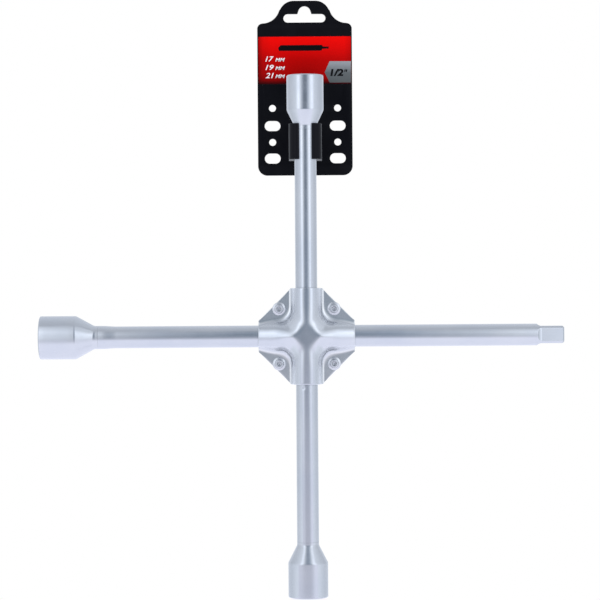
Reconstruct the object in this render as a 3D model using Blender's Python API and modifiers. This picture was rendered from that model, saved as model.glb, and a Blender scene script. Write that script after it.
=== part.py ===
"""Four-way lug wrench (cross wheel brace) with riveted hub plates, a 1/2 inch drive end and a clip-on hanger.

Frame: the origin is on the centre of the hub's front face. +Z runs up the arm that carries the 17 mm
socket, +X runs out to the square drive, and -Y is the front. The bars cross HUB_FACE behind the origin
and are notched together on the hub's middle plane: the upright bar lies BAR_OFFSET in front of that
plane and the cross bar as far behind it. Everything is placed from the crossing, under one empty that
stands on it. Sizes are in millimetres and scaled to metres by MM.
"""

import math
from collections import namedtuple

import bmesh
import bpy
from mathutils import Matrix, Vector

MM = 0.001

# ---- driving dimensions, mm ----------------------------------------------------------------------
BAR_R = 8.0  # 16 mm round bar
BAR_OFFSET = 3.6
UPRIGHT_Y = -BAR_OFFSET  # the bars' axes, from the hub's middle plane
CROSS_Y = BAR_OFFSET
WELD_GAP = 0.15  # half the root gap between a socket neck and its bar
SEAT_GAP = 0.1  # under a washer, a rivet's head and the label

# Mouth, ends of the straight part and the cone, and weld plane are distances from the crossing.
# turn is in degrees and takes local +Z out along the socket's arm.
Socket = namedtuple("Socket", "flats outer_d mouth straight_to cone_to weld turn axis_y")
SOCKETS = {
    "socket_17mm": Socket(17.2, 27.0, 191.3, 165.6, 154.0, 151.4, (0, 0, 0), UPRIGHT_Y),
    "socket_19mm": Socket(19.2, 29.1, 191.3, 165.8, 153.0, 150.9, (180, 0, 0), UPRIGHT_Y),
    "socket_21mm": Socket(21.25, 31.8, 196.3, 169.7, 156.3, 153.5, (0, -90, 0), CROSS_Y),
}

PLATE_T = 2.0
PLATE_EAR = 1.15  # middle of the sheet, at the ears, from the hub's middle plane
PLATE_CREST = 13.9  # middle of the sheet, at the centre
HUB_FACE = PLATE_CREST + PLATE_T / 2  # front face of the hub, from the crossing

RIVET_AT = 20.15  # across and up from the crossing
RIVET_HOLE_R = 2.65
# name of the ear, side in X, side in Z
EARS = (
    ("top_left", -1, 1),
    ("top_right", 1, 1),
    ("bottom_left", -1, -1),
    ("bottom_right", 1, -1),
)

# ---- scene and materials -------------------------------------------------------------------------
for old in list(bpy.data.objects):
    bpy.data.objects.remove(old, do_unlink=True)

parts = bpy.data.collections.new("lug_wrench")
cutters = bpy.data.collections.new("cutters")
bpy.context.scene.collection.children.link(parts)
bpy.context.scene.collection.children.link(cutters)


def principled(name, colour, metallic, roughness):
    material = bpy.data.materials.new(name)
    material.use_nodes = True
    shader = material.node_tree.nodes["Principled BSDF"]
    shader.inputs["Base Color"].default_value = (*colour, 1.0)
    shader.inputs["Metallic"].default_value = metallic
    shader.inputs["Roughness"].default_value = roughness
    material.diffuse_color = (*colour, 1.0)
    return material


CHROME = principled("satin_chrome", colour=(0.80, 0.81, 0.84), metallic=1.0, roughness=0.22)
RIVET_STEEL = principled("rivet_steel", colour=(0.74, 0.75, 0.78), metallic=1.0, roughness=0.3)
SPRING_STEEL = principled("spring_steel", colour=(0.42, 0.42, 0.44), metallic=1.0, roughness=0.35)
BLACK_PLASTIC = principled(
    "black_plastic", colour=(0.012, 0.012, 0.016), metallic=0.0, roughness=0.38
)
LABEL_RED = principled("red_label", colour=(0.62, 0.01, 0.015), metallic=0.0, roughness=0.3)


# ---- helpers -------------------------------------------------------------------------------------
def place(obj, location=(0, 0, 0), rotation=(0, 0, 0), parent=None):
    """Put obj at a location in mm, turned by degrees. Its parent stays unless one is given."""
    obj.location = [value * MM for value in location]
    obj.rotation_euler = [math.radians(angle) for angle in rotation]
    if parent:
        obj.parent = parent
    return obj


def empty(name, location=(0, 0, 0), parent=None):
    made = bpy.data.objects.new(name, None)
    made.empty_display_size = 0.02
    parts.objects.link(made)
    return place(made, location, parent=parent)


crossing = empty("crossing", (0, HUB_FACE, 0))
wrench = empty("wrench", parent=crossing)


def add(name, mesh, material=None):
    """An object under the crossing. One without a material is a cutter."""
    made = bpy.data.objects.new(name, mesh)
    made.parent = crossing
    if material:
        parts.objects.link(made)
        mesh.materials.clear()
        mesh.materials.append(material)
    else:
        cutters.objects.link(made)
        made.hide_render = True
        made.display_type = "WIRE"
    return made


def mesh_from(work, name):
    """The bmesh as a new mesh. The bmesh is freed."""
    mesh = bpy.data.meshes.new(name)
    work.to_mesh(mesh)
    work.free()
    return mesh


def smooth(obj, angle=35):
    obj.data.shade_smooth()
    obj.data.set_sharp_from_angle(angle=math.radians(angle))


def baked(name, data, screw_steps=None):
    """The evaluated mesh of data, turned about Z if steps are given, with coincident points welded."""
    raw = bpy.data.objects.new(name + "_raw", data)
    bpy.context.scene.collection.objects.link(raw)
    if screw_steps:
        screw = raw.modifiers.new("turn", "SCREW")
        screw.axis = "Z"
        screw.angle = 2 * math.pi
        screw.steps = screw_steps
        screw.render_steps = screw_steps
        screw.use_merge_vertices = True
        screw.merge_threshold = 1e-6
    bpy.context.view_layer.update()
    graph = bpy.context.evaluated_depsgraph_get()
    mesh = bpy.data.meshes.new_from_object(raw.evaluated_get(graph))
    work = bmesh.new()
    work.from_mesh(mesh)
    bmesh.ops.remove_doubles(work, verts=work.verts, dist=2e-6)
    bmesh.ops.dissolve_degenerate(work, edges=work.edges, dist=1e-7)
    bmesh.ops.recalc_face_normals(work, faces=work.faces)
    work.to_mesh(mesh)
    work.free()
    bpy.data.objects.remove(raw, do_unlink=True)
    mesh.name = name
    return mesh


def turned(name, profile, steps, material=None, closed=False):
    """A turned solid about local Z. The profile is (radius, height)."""
    mesh = bpy.data.meshes.new(name)
    points = [(radius * MM, 0.0, height * MM) for radius, height in profile]
    edges = [(i, i + 1) for i in range(len(points) - 1)]
    if closed:
        edges.append((len(points) - 1, 0))
    mesh.from_pydata(points, edges, [])
    made = add(name, baked(name, mesh, steps), material)
    smooth(made)
    return made


def prism(name, outlines, depth, material=None):
    """A flat outline, with any holes, thickened by depth about local Z = 0."""
    curve = bpy.data.curves.new(name, "CURVE")
    curve.dimensions = "2D"
    curve.fill_mode = "BOTH"
    curve.extrude = depth / 2 * MM
    for outline in outlines:
        spline = curve.splines.new("POLY")
        spline.points.add(len(outline) - 1)
        for point, (x, y) in zip(spline.points, outline):
            point.co = (x * MM, y * MM, 0.0, 1.0)
        spline.use_cyclic_u = True
    return add(name, baked(name, curve), material)


def cylinder_cutter(name, radius, depth, segments):
    work = bmesh.new()
    bmesh.ops.create_cone(
        work,
        cap_ends=True,
        segments=segments,
        radius1=radius * MM,
        radius2=radius * MM,
        depth=depth * MM,
    )
    return add(name, mesh_from(work, name))


def box_cutter(name, low, high):
    work = bmesh.new()
    bmesh.ops.create_cube(work, size=1.0)
    size = [(end - start) * MM for start, end in zip(low, high)]
    bmesh.ops.scale(work, vec=size, verts=work.verts)
    centre = [(start + end) / 2 for start, end in zip(low, high)]
    return place(add(name, mesh_from(work, name)), centre)


def cut(obj, cutter, operation="DIFFERENCE"):
    modifier = obj.modifiers.new(cutter.name, "BOOLEAN")
    modifier.operation = operation
    modifier.object = cutter
    modifier.solver = "EXACT"


def arc(centre_x, centre_y, radius, start, end, count):
    """Points on a circle, angles in degrees, both ends included."""
    angles = [math.radians(start + (end - start) * i / count) for i in range(count + 1)]
    return [
        (centre_x + radius * math.cos(angle), centre_y + radius * math.sin(angle))
        for angle in angles
    ]


# ---- bars ----------------------------------------------------------------------------------------
BAR_SEGMENTS = 40
LAP_GAP = 0.15  # clearance on every face of the notches at the crossing
LAP_HALF = BAR_R + LAP_GAP
LAP_REACH = 10.0  # the notch cutters reach this far, past the bar's surface

DRIVE_HALF = 12.7 / 2  # 1/2 inch square
DRIVE_TIP = 189.2
DRIVE_FLAT_FROM = 172.8
DRIVE_RUNOUT_FROM = 169.4
DRIVE_CHAMFER = 1.1
FLAT_CUTTER_WIDTH = 30.0
FLAT_CUTTER_CLEAR = 3.0  # how far the cutter stands clear of the bar and its tip
CHAMFER_OVERRUN = 1.0

BALL_X = 181.2
BALL_BORE_R = 2.75
BALL_LIP_R = 2.38
BALL_LIP = 0.45
BALL_LIP_SLOPE = 0.3  # depth over which the lip opens out to the bore
BALL_BORE_END = -3.6  # edge of the bore's conical floor, from the cross bar's axis
BALL_BORE_POINT = 1.2  # depth of the conical floor
BALL_BORE_OVERRUN = 1.0


def build_upright_bar():
    """The bar between the 17 mm socket at the top and the 19 mm socket at the bottom."""
    top = SOCKETS["socket_17mm"].weld - WELD_GAP
    bottom = -(SOCKETS["socket_19mm"].weld - WELD_GAP)
    profile = [(0, top), (BAR_R, top), (BAR_R, bottom), (0, bottom)]
    bar = turned("upright_bar", profile, BAR_SEGMENTS, CHROME)
    place(bar, (0, UPRIGHT_Y, 0), parent=wrench)
    # notched from behind
    low = (-LAP_REACH, -LAP_GAP, -LAP_HALF)
    high = (LAP_REACH, LAP_REACH, LAP_HALF)
    cut(bar, box_cutter("upright_lap_cutter", low, high))


def cut_drive_flats(bar):
    """Four flats with a sloping run-out make the square, and each ends in a chamfer at the tip."""
    slope = (DRIVE_FLAT_FROM - DRIVE_RUNOUT_FROM) / (BAR_R - DRIVE_HALF)
    chamfer_end = DRIVE_HALF - DRIVE_CHAMFER - CHAMFER_OVERRUN
    # distance along the bar, distance from its axis
    outline = [
        (DRIVE_RUNOUT_FROM - FLAT_CUTTER_CLEAR * slope, BAR_R + FLAT_CUTTER_CLEAR),
        (DRIVE_FLAT_FROM, DRIVE_HALF),
        (DRIVE_TIP - DRIVE_CHAMFER, DRIVE_HALF),
        (DRIVE_TIP + CHAMFER_OVERRUN, chamfer_end),
        (DRIVE_TIP + FLAT_CUTTER_CLEAR, chamfer_end),
        (DRIVE_TIP + FLAT_CUTTER_CLEAR, BAR_R + FLAT_CUTTER_CLEAR),
    ]
    for number in range(4):
        cutter = prism(f"drive_flat_cutter_{number + 1}", [outline], FLAT_CUTTER_WIDTH)
        place(cutter, (0, CROSS_Y, 0), (90 * number, 0, 0))
        cut(bar, cutter)


def cut_ball_bore(bar):
    """Blind hole for the detent ball on the rear flat, with a staked lip that keeps the ball in."""
    profile = [
        (0, DRIVE_HALF + BALL_BORE_OVERRUN),
        (BALL_LIP_R, DRIVE_HALF + BALL_BORE_OVERRUN),
        (BALL_LIP_R, DRIVE_HALF - BALL_LIP),
        (BALL_BORE_R, DRIVE_HALF - BALL_LIP - BALL_LIP_SLOPE),
        (BALL_BORE_R, BALL_BORE_END),
        (0, BALL_BORE_END - BALL_BORE_POINT),
    ]
    bore = turned("ball_bore_cutter", profile, 20)
    place(bore, (BALL_X, CROSS_Y, 0), (-90, 0, 0))
    cut(bar, bore)


def build_cross_bar():
    """The bar from the 21 mm socket on the left to the square drive on the right."""
    left = -(SOCKETS["socket_21mm"].weld - WELD_GAP)
    profile = [
        (0, DRIVE_TIP),
        (BAR_R - DRIVE_CHAMFER, DRIVE_TIP),
        (BAR_R, DRIVE_TIP - DRIVE_CHAMFER),
        (BAR_R, left),
        (0, left),
    ]
    bar = turned("cross_bar", profile, BAR_SEGMENTS, CHROME)
    place(bar, (0, CROSS_Y, 0), (0, 90, 0), wrench)
    # notched from the front
    low = (-LAP_HALF, -LAP_REACH, -LAP_REACH)
    high = (LAP_HALF, LAP_GAP, LAP_REACH)
    cut(bar, box_cutter("cross_lap_cutter", low, high))
    cut_drive_flats(bar)
    cut_ball_bore(bar)


build_upright_bar()
build_cross_bar()

# ---- detent --------------------------------------------------------------------------------------
BALL_R = 2.5
BALL_Y = 4.8  # ball's centre, behind the cross bar's axis
SPRING_R = 1.75
SPRING_WIRE_R = 0.3
SPRING_FLOOR_GAP = 0.1
SPRING_BALL_GAP = 0.15
SPRING_TURNS = 4.5
SPRING_STEPS_PER_TURN = 12


def build_detent_ball():
    work = bmesh.new()
    bmesh.ops.create_uvsphere(work, u_segments=16, v_segments=10, radius=BALL_R * MM)
    ball = add("detent_ball", mesh_from(work, "detent_ball"), SPRING_STEEL)
    smooth(ball)
    place(ball, (BALL_X, CROSS_Y + BALL_Y, 0), (90, 0, 0), wrench)


def build_detent_spring():
    """A coil between the hole's floor and the underside of the ball, just clear of both."""
    low = BALL_BORE_END + SPRING_FLOOR_GAP + SPRING_WIRE_R
    ball_underside = BALL_Y - math.sqrt(BALL_R**2 - SPRING_R**2)
    high = ball_underside - SPRING_WIRE_R - SPRING_BALL_GAP
    curve = bpy.data.curves.new("detent_spring", "CURVE")
    curve.dimensions = "3D"
    curve.bevel_depth = SPRING_WIRE_R * MM
    curve.bevel_resolution = 1
    curve.use_fill_caps = True
    spline = curve.splines.new("POLY")
    count = int(SPRING_TURNS * SPRING_STEPS_PER_TURN)
    spline.points.add(count)
    for i, point in enumerate(spline.points):
        angle = 2 * math.pi * i / SPRING_STEPS_PER_TURN
        x = SPRING_R * math.cos(angle)
        y = SPRING_R * math.sin(angle)
        z = low + (high - low) * i / count
        point.co = (x * MM, y * MM, z * MM, 1.0)
    spring = add("detent_spring", baked("detent_spring", curve), SPRING_STEEL)
    smooth(spring, 60)
    place(spring, (BALL_X, CROSS_Y, 0), (-90, 0, 0), wrench)


build_detent_ball()
build_detent_spring()

# ---- sockets -------------------------------------------------------------------------------------
MOUTH_CHAMFER = 0.6
SHOULDER_R = 3.0
SHOULDER_STEPS = 2
NECK_R = 7.0
NECK_STEPS = 3
HEX_DEPTH = 21.0
HEX_OVERRUN = 5.0  # hexagon cutter past the mouth
RELIEF_INSET = 0.6  # relief's wall inside the hexagon's flats
RELIEF_OVERLAP = 1.0  # relief's start above the hexagon's floor
RELIEF_DEPTH = 1.5  # relief's wall below the hexagon's floor
DRILL_POINT = 3.0
LEAD_IN = 0.6  # lead-in's radius at the mouth, beyond the hexagon's corners
LEAD_IN_DEPTH = 2.0
LEAD_IN_OVERRUN = 1.0


def socket_profile(socket):
    """Mouth chamfer, straight wall, rounded shoulder, cone, hollow neck fillet and the weld end."""
    outer_r, mouth = socket.outer_d / 2, socket.mouth
    slant = math.atan2(outer_r - BAR_R, socket.straight_to - socket.cone_to)
    points = [(0, mouth), (outer_r - MOUTH_CHAMFER, mouth), (outer_r, mouth - MOUTH_CHAMFER)]
    shoulder_start = socket.straight_to + SHOULDER_R * math.tan(slant / 2)
    for i in range(SHOULDER_STEPS + 1):
        angle = slant * i / SHOULDER_STEPS
        radius = outer_r - SHOULDER_R * (1 - math.cos(angle))
        points.append((radius, shoulder_start - SHOULDER_R * math.sin(angle)))
    neck_end = socket.cone_to - NECK_R * math.tan(slant / 2)
    for i in range(NECK_STEPS + 1):
        angle = slant * (1 - i / NECK_STEPS)
        radius = BAR_R + NECK_R * (1 - math.cos(angle))
        points.append((radius, neck_end + NECK_R * math.sin(angle)))
    return points + [(BAR_R, socket.weld + WELD_GAP), (0, socket.weld + WELD_GAP)]


def socket_cutters(name, socket):
    """The broached hexagon, the drilled relief beneath it and its lead-in, along local Z."""
    corner_r = socket.flats / math.sqrt(3)
    floor = socket.mouth - HEX_DEPTH
    length = HEX_DEPTH + HEX_OVERRUN
    hexagon = cylinder_cutter(name + "_hex_cutter", corner_r, length, 6)
    hexagon.data.transform(Matrix.Translation((0, 0, (floor + length / 2) * MM)))

    relief_r = socket.flats / 2 - RELIEF_INSET
    relief_profile = [
        (0, floor + RELIEF_OVERLAP),
        (relief_r, floor + RELIEF_OVERLAP),
        (relief_r, floor - RELIEF_DEPTH),
        (0, floor - RELIEF_DEPTH - DRILL_POINT),
    ]
    relief = turned(name + "_relief_cutter", relief_profile, 24)

    # a 45 degree cone
    mouth_r = corner_r + LEAD_IN
    lead_in_profile = [
        (0, socket.mouth + LEAD_IN_OVERRUN),
        (mouth_r + LEAD_IN_OVERRUN, socket.mouth + LEAD_IN_OVERRUN),
        (mouth_r - LEAD_IN_DEPTH, socket.mouth - LEAD_IN_DEPTH),
        (0, socket.mouth - LEAD_IN_DEPTH),
    ]
    lead_in = turned(name + "_lead_in_cutter", lead_in_profile, 24)
    return hexagon, relief, lead_in


def build_socket(name, socket):
    body = turned(name, socket_profile(socket), 36, CHROME)
    place(body, (0, socket.axis_y, 0), socket.turn, wrench)
    for cutter in socket_cutters(name, socket):
        place(cutter, (0, socket.axis_y, 0), socket.turn)
        cut(body, cutter)


for socket_name, socket_sizes in SOCKETS.items():
    build_socket(socket_name, socket_sizes)

# ---- hub plates ----------------------------------------------------------------------------------
PLATE_HALF = 35.3  # centre to the end of each channel
PLATE_FLAT = 11.3  # half the width left at each end by the 45 degree corners
PLATE_R = 9.3  # middle of the sheet, over a bar
CREST_FLAT = 7.6  # the crests run level this far, then fall away
CREST_BEND = 0.12  # softness of the bend where the fall starts
NEAR_FILLET = 4.0  # foot of the channel over the bar on the plate's own side
FAR_FILLET = 6.0  # foot of the shallow channel over the other bar
BLEND_TOP = 11.0  # reach of the corner between two channels, at the crests and at their feet
BLEND_FOOT = 12.0

CORNER_LINE = PLATE_HALF + PLATE_FLAT  # x + z on the 45 degree edge
NEAR_FALL = PLATE_CREST - (BAR_OFFSET + PLATE_R)  # drop of the crest over the plate's own bar
FAR_FALL = PLATE_CREST - (PLATE_R - BAR_OFFSET)  # and of the crest over the other bar

# The grid of one quarter: shares of the blended corner, then shares of the way on to the plate's
# end, on each side of the diagonal; steps down the channel's arc and its fillet; rings at the centre.
CORNER_SHARES = (0.31, 0.65, 1.0)
END_SHARES = (0.5, 1.0)
ARC_STEPS = 6
FILLET_STEPS = 4
STAR_STEPS = 2


def level_point(distance, difference, blend):
    """(x, z) of the pressed surface at a distance from a bar's axis, for a given z - x.
    The inner corner between the two channels is blended."""
    if abs(difference) >= blend:
        low, high = distance, distance + abs(difference)
        return (low, high) if difference > 0 else (high, low)
    total = 2 * distance + blend / 2 + difference**2 / (2 * blend)
    return (total - difference) / 2, (total + difference) / 2


def fallen(distance):
    """Share of a crest's fall at a distance from the centre: level, then a steady slope."""
    share = max(0.0, (distance - CREST_FLAT) / (PLATE_HALF - CREST_FLAT))
    fall = math.hypot(share, CREST_BEND) - CREST_BEND
    return fall / (math.hypot(1.0, CREST_BEND) - CREST_BEND)


def nearness(difference, blend):
    """Eased from 0 over the far bar, along x, to 1 over the plate's own bar, along z."""
    near = min(1.0, max(0.0, (difference / blend + 1) / 2))
    return near * near * (3 - 2 * near)


def crest_height(x, z, near):
    return PLATE_CREST - NEAR_FALL * fallen(z) * near - FAR_FALL * fallen(x) * (1 - near)


def section(along, crest, fillet):
    """One place on a channel's section, as (distance from the bar's axis, height).
    along runs from 0 at the crest to 1 where the arc meets the fillet and 2 at the foot."""
    rise = PLATE_EAR + fillet - (crest - PLATE_R)
    lean = math.acos(rise / (PLATE_R + fillet))
    if along <= 1:
        angle = lean * along
        return PLATE_R * math.sin(angle), crest - PLATE_R * (1 - math.cos(angle))
    foot, tilt = (PLATE_R + fillet) * math.sin(lean), lean * (2 - along)
    return foot - fillet * math.sin(tilt), PLATE_EAR + fillet * (1 - math.cos(tilt))


def channel_point(along, difference, blend):
    """A point (x, z, height) of the quarter, for one place on the section and one z - x."""
    near = nearness(difference, blend)
    fillet = NEAR_FILLET * near + FAR_FILLET * (1 - near)
    distance, height = section(along, PLATE_CREST, fillet)
    # the crest's height depends on the place, so both are settled together
    for _ in range(4):
        x, z = level_point(distance, difference, blend)
        distance, height = section(along, crest_height(x, z, near), fillet)
    return (*level_point(distance, difference, blend), height)


def half_row(along, side, blend):
    """Points from beside the diagonal out to a plate end. side is 1 towards z and -1 towards x."""
    points = [channel_point(along, side * share * blend, blend) for share in CORNER_SHARES]
    reach = blend
    for share in END_SHARES:
        # the place on the plate's edge is found by stepping on from the place before
        for _ in range(6):
            x, z, _height = channel_point(along, side * reach, blend)
            distance = min(x, z)
            plate_end = min(PLATE_HALF, CORNER_LINE - distance)
            reach = blend + (plate_end - distance - blend) * share
        points.append(channel_point(along, side * reach, blend))
    return points


def plate_rows():
    """Rows of (x, z, height) over one quarter, from the crests out to the 45 degree edge."""
    places = [i / ARC_STEPS for i in range(ARC_STEPS + 1)]
    places += [1 + i / FILLET_STEPS for i in range(1, FILLET_STEPS + 1)]
    rows = []
    for along in places:
        blend = BLEND_TOP + (BLEND_FOOT - BLEND_TOP) * along / 2
        middle = [channel_point(along, 0.0, blend)]
        rows.append(half_row(along, -1, blend)[::-1] + middle + half_row(along, 1, blend))
    foot = rows[-1]
    width = foot[-1][1] - foot[-1][0]
    edge = []
    for x, z, _height in foot:
        offset = width * ((z - x) / width)
        edge.append(((CORNER_LINE - offset) / 2, (CORNER_LINE + offset) / 2, PLATE_EAR))
    return rows + [edge]


def star_rings(crest_row):
    """Rings from the centre of the plate out to the blended part of the crest row."""
    middle, inside = len(crest_row) // 2, len(CORNER_SHARES)
    rim = crest_row[middle - inside : middle + inside + 1]
    rings = []
    for step in range(STAR_STEPS):
        share = step / STAR_STEPS
        ring = []
        for x, z, _height in rim:
            near = nearness(z - x, BLEND_TOP)
            ring.append((x * share, z * share, crest_height(x * share, z * share, near)))
        rings.append(ring)
    return rings + [rim]


def plate_mesh(name):
    """The sheet's middle surface: a grid and a star for one quarter, mirrored to all four."""
    rows = plate_rows()
    rings = star_rings(rows[0])
    work = bmesh.new()
    for side_x in (1, -1):
        for side_z in (1, -1):
            for band in (rows, rings):
                grid = [
                    [
                        work.verts.new((side_x * x * MM, -height * MM, side_z * z * MM))
                        for x, z, height in row
                    ]
                    for row in band
                ]
                for upper, lower in zip(grid, grid[1:]):
                    for j in range(len(upper) - 1):
                        face = [upper[j], upper[j + 1], lower[j + 1], lower[j]]
                        work.faces.new(face if side_x * side_z > 0 else face[::-1])
    bmesh.ops.remove_doubles(work, verts=work.verts, dist=2e-6)
    bmesh.ops.dissolve_degenerate(work, edges=work.edges, dist=1e-6)
    bmesh.ops.recalc_face_normals(work, faces=work.faces)
    return mesh_from(work, name)


def build_plate(name, lie, holes):
    plate = add(name, plate_mesh(name), CHROME)
    plate.parent = wrench
    plate.matrix_local = lie
    sheet = plate.modifiers.new("sheet", "SOLIDIFY")
    sheet.thickness = PLATE_T * MM
    sheet.offset = 0.0
    sheet.use_even_offset = True
    for hole in holes:
        cut(plate, hole)
    smooth(plate, 40)


rivet_holes = []
for ear, side_x, side_z in EARS:
    hole_cutter = cylinder_cutter(f"rivet_hole_{ear}", RIVET_HOLE_R, 12, 20)
    place(hole_cutter, (side_x * RIVET_AT, 0, side_z * RIVET_AT), (90, 0, 0))
    rivet_holes.append(hole_cutter)

# Both plates are the same pressing. The rear one is turned over about the plate's diagonal, so its
# deep channel runs along the cross bar.
build_plate("front_hub_plate", Matrix.Identity(4), rivet_holes)
build_plate("rear_hub_plate", Matrix.Rotation(math.pi, 4, Vector((1, 0, 1))), rivet_holes)

# ---- rivets and washers --------------------------------------------------------------------------
RIVET_R = 2.5
WASHER_R = 4.9
WASHER_T = 0.9
WASHER_BORE_R = RIVET_HOLE_R + 0.1
EAR_FACE = PLATE_EAR + PLATE_T / 2
WASHER_LOW = EAR_FACE + SEAT_GAP
WASHER_HIGH = WASHER_LOW + WASHER_T
CLINCH_LOW = WASHER_HIGH + SEAT_GAP

# Rolled end, hollow in the middle: radius, height above CLINCH_LOW
CLINCH_POINTS = [
    (0, -1.6), (1.35, -1.2), (1.35, 0.7), (1.75, 1.15), (2.35, 1.25),
    (2.95, 0.9), (3.15, 0.35), (2.95, 0), (RIVET_R, 0),
]
# Factory head: radius, depth beyond the rear ear's face
HEAD_POINTS = [
    (RIVET_R, SEAT_GAP), (4.5, SEAT_GAP), (4.5, 0.45), (3.6, 1.35), (2.0, 1.95), (0, 2.15),
]
RIVET_PROFILE = [(radius, CLINCH_LOW + rise) for radius, rise in CLINCH_POINTS]
RIVET_PROFILE += [(radius, -(EAR_FACE + depth)) for radius, depth in HEAD_POINTS]

WASHER_PROFILE = [
    (WASHER_BORE_R, WASHER_HIGH),
    (WASHER_R - 0.9, WASHER_HIGH),
    (WASHER_R - 0.2, WASHER_HIGH - 0.3),
    (WASHER_R, WASHER_HIGH - 0.65),
    (WASHER_R, WASHER_LOW),
    (WASHER_BORE_R, WASHER_LOW),
]

# Local Z points forward, so the rolled end is at the front and the factory head at the rear.
for ear, side_x, side_z in EARS:
    rivet = turned(f"rivet_{ear}", RIVET_PROFILE, 20, RIVET_STEEL)
    washer = turned(f"rivet_washer_{ear}", WASHER_PROFILE, 20, RIVET_STEEL, closed=True)
    for made in (rivet, washer):
        place(made, (side_x * RIVET_AT, 0, side_z * RIVET_AT), (90, 0, 0), wrench)

# ---- hanger --------------------------------------------------------------------------------------
# Heights are from the crossing.
CARD_HALF = 35.0
CARD_TOP = 248.1
CARD_BOTTOM = 118.8
CARD_FRONT = 14.5  # card's front face, behind the upright bar's axis
CARD_T = 2.0
CARD_FOOT_R = 7.0  # bottom corners
CARD_SHOULDER_R = 4.0
CARD_SHOULDER_Z = 227.4
CARD_CROWN_R = 11.1  # top corners
CARD_CROWN_X = 7.9

HOOK_HALF = 15.55  # half the long slot's length
HOOK_R = 3.15
HOOK_Z = 235.15

HOLE_X = 24.1  # the two columns of holes
ROUND_HOLE_R = 2.6
ROUND_HOLES_Z = (168.6, 143.4)
SLOTS_Z = (155.5, 131.4)
SLOT_WIDTH = 11.7
SLOT_HEIGHT = 7.5
WINDOW_HALF = 8.4
WINDOW_INSET = 1.2  # window's ends, inside the jaws' ends

JAW_TOP = 155.7
JAW_BOTTOM = 129.5
JAW_HALF = 12.1
JAW_LIP = 4.45  # half the opening between the lips
JAW_SEAT_R = BAR_R + 0.25
JAW_OUTER_X = 5.0  # centre of the rounded outside
JAW_OUTER_Y = 1.6
JAW_OUTER_STRETCH = 1.08
JAW_SINK = 0.6  # legs run this far into the card
JAW_LEG_INSET = 0.15  # leg's inner face, outside the seat
JAW_TIP = [(JAW_LIP + 0.25, 7.9), (JAW_LIP + 1.3, 9.3)]  # across, forward of the bar's axis
# Foot of the socket's cone: radius, height
CONE_RELIEF_PROFILE = [
    (0, 160.5), (11.1, 160.5), (8.6, 154.6), (8.3, 152.5), (8.3, 150), (0, 150),
]

LABEL_TOP = 221.5
LABEL_BOTTOM = 186.3
LABEL_HALF = 34.3
LABEL_T = 0.22
LABEL_CORNER_R = 0.8

# The empty stands on the arm's axis, which is the hanger's swivel.
HANGER_Z = (JAW_TOP + JAW_BOTTOM) / 2
hanger = empty("hanger", (0, UPRIGHT_Y, HANGER_Z), crossing)


def card_outline():
    right = arc(CARD_HALF - CARD_FOOT_R, CARD_BOTTOM + CARD_FOOT_R, CARD_FOOT_R, -90, 0, 6)
    right += arc(CARD_HALF - CARD_SHOULDER_R, CARD_SHOULDER_Z, CARD_SHOULDER_R, 0, 85, 5)
    # hollow flank between the shoulder and the crown
    right += arc(31.2, 244.5, 13.0, 268, 196, 8)
    right += arc(CARD_CROWN_X, CARD_TOP - CARD_CROWN_R, CARD_CROWN_R, 25, 90, 6)
    return right + [(-x, z) for x, z in reversed(right)]


def hook_hole():
    """The euro hole: a long slot with a round crown for the peg."""
    right = arc(HOOK_HALF - HOOK_R, HOOK_Z, HOOK_R, -90, 90, 6)
    slot_top = HOOK_Z + HOOK_R
    crown = [(5.2, slot_top)] + arc(0, 239.5, 4.55, 12, 168, 10) + [(-5.2, slot_top)]
    left = arc(-HOOK_HALF + HOOK_R, HOOK_Z, HOOK_R, 90, 270, 6)
    return right + crown + left


def slot(x, z):
    radius = SLOT_HEIGHT / 2
    right = arc(x + SLOT_WIDTH / 2 - radius, z, radius, -90, 90, 6)
    return right + arc(x - SLOT_WIDTH / 2 + radius, z, radius, 90, 270, 6)


def window():
    """The window behind the jaws, where the mould's core passes."""
    low, high = JAW_BOTTOM + WINDOW_INSET, JAW_TOP - WINDOW_INSET
    return [(-WINDOW_HALF, low), (WINDOW_HALF, low), (WINDOW_HALF, high), (-WINDOW_HALF, high)]


def card_holes():
    holes = [hook_hole()]
    for x in (-HOLE_X, HOLE_X):
        for round_z, slot_z in zip(ROUND_HOLES_Z, SLOTS_Z):
            holes.append(arc(x, round_z, ROUND_HOLE_R, 0, 360, 16)[:-1])
            holes.append(slot(x, slot_z))
    return holes


def upright_sheet(name, outlines, thickness, middle_y, material):
    """A sheet in the XZ plane under the hanger, its middle this far behind the bar's axis."""
    lowered = [[(x, z - HANGER_Z) for x, z in outline] for outline in outlines]
    sheet = prism(name, lowered, thickness, material)
    sheet.data.transform(Matrix.Rotation(math.radians(90), 4, "X"))
    sheet.data.transform(Matrix.Translation((0, middle_y * MM, 0)))
    sheet.parent = hanger
    return sheet


def jaw_outline(side):
    """One jaw's section, across and forward: a straight leg from the card, hooked over the bar."""
    lip = math.degrees(math.asin(JAW_LIP / JAW_SEAT_R))
    seat = arc(0, 0, JAW_SEAT_R, 0, 90 - lip, 8)
    outer = arc(JAW_OUTER_X, JAW_OUTER_Y, JAW_HALF - JAW_OUTER_X, 80, 5, 6)
    outer = [(x, y * JAW_OUTER_STRETCH) for x, y in outer]
    leg_end = -(CARD_FRONT + JAW_SINK)
    leg = [(JAW_HALF, 0), (JAW_HALF, leg_end), (JAW_SEAT_R + JAW_LEG_INSET, leg_end)]
    return [(side * x, y) for x, y in seat + JAW_TIP + outer + leg]


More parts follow.
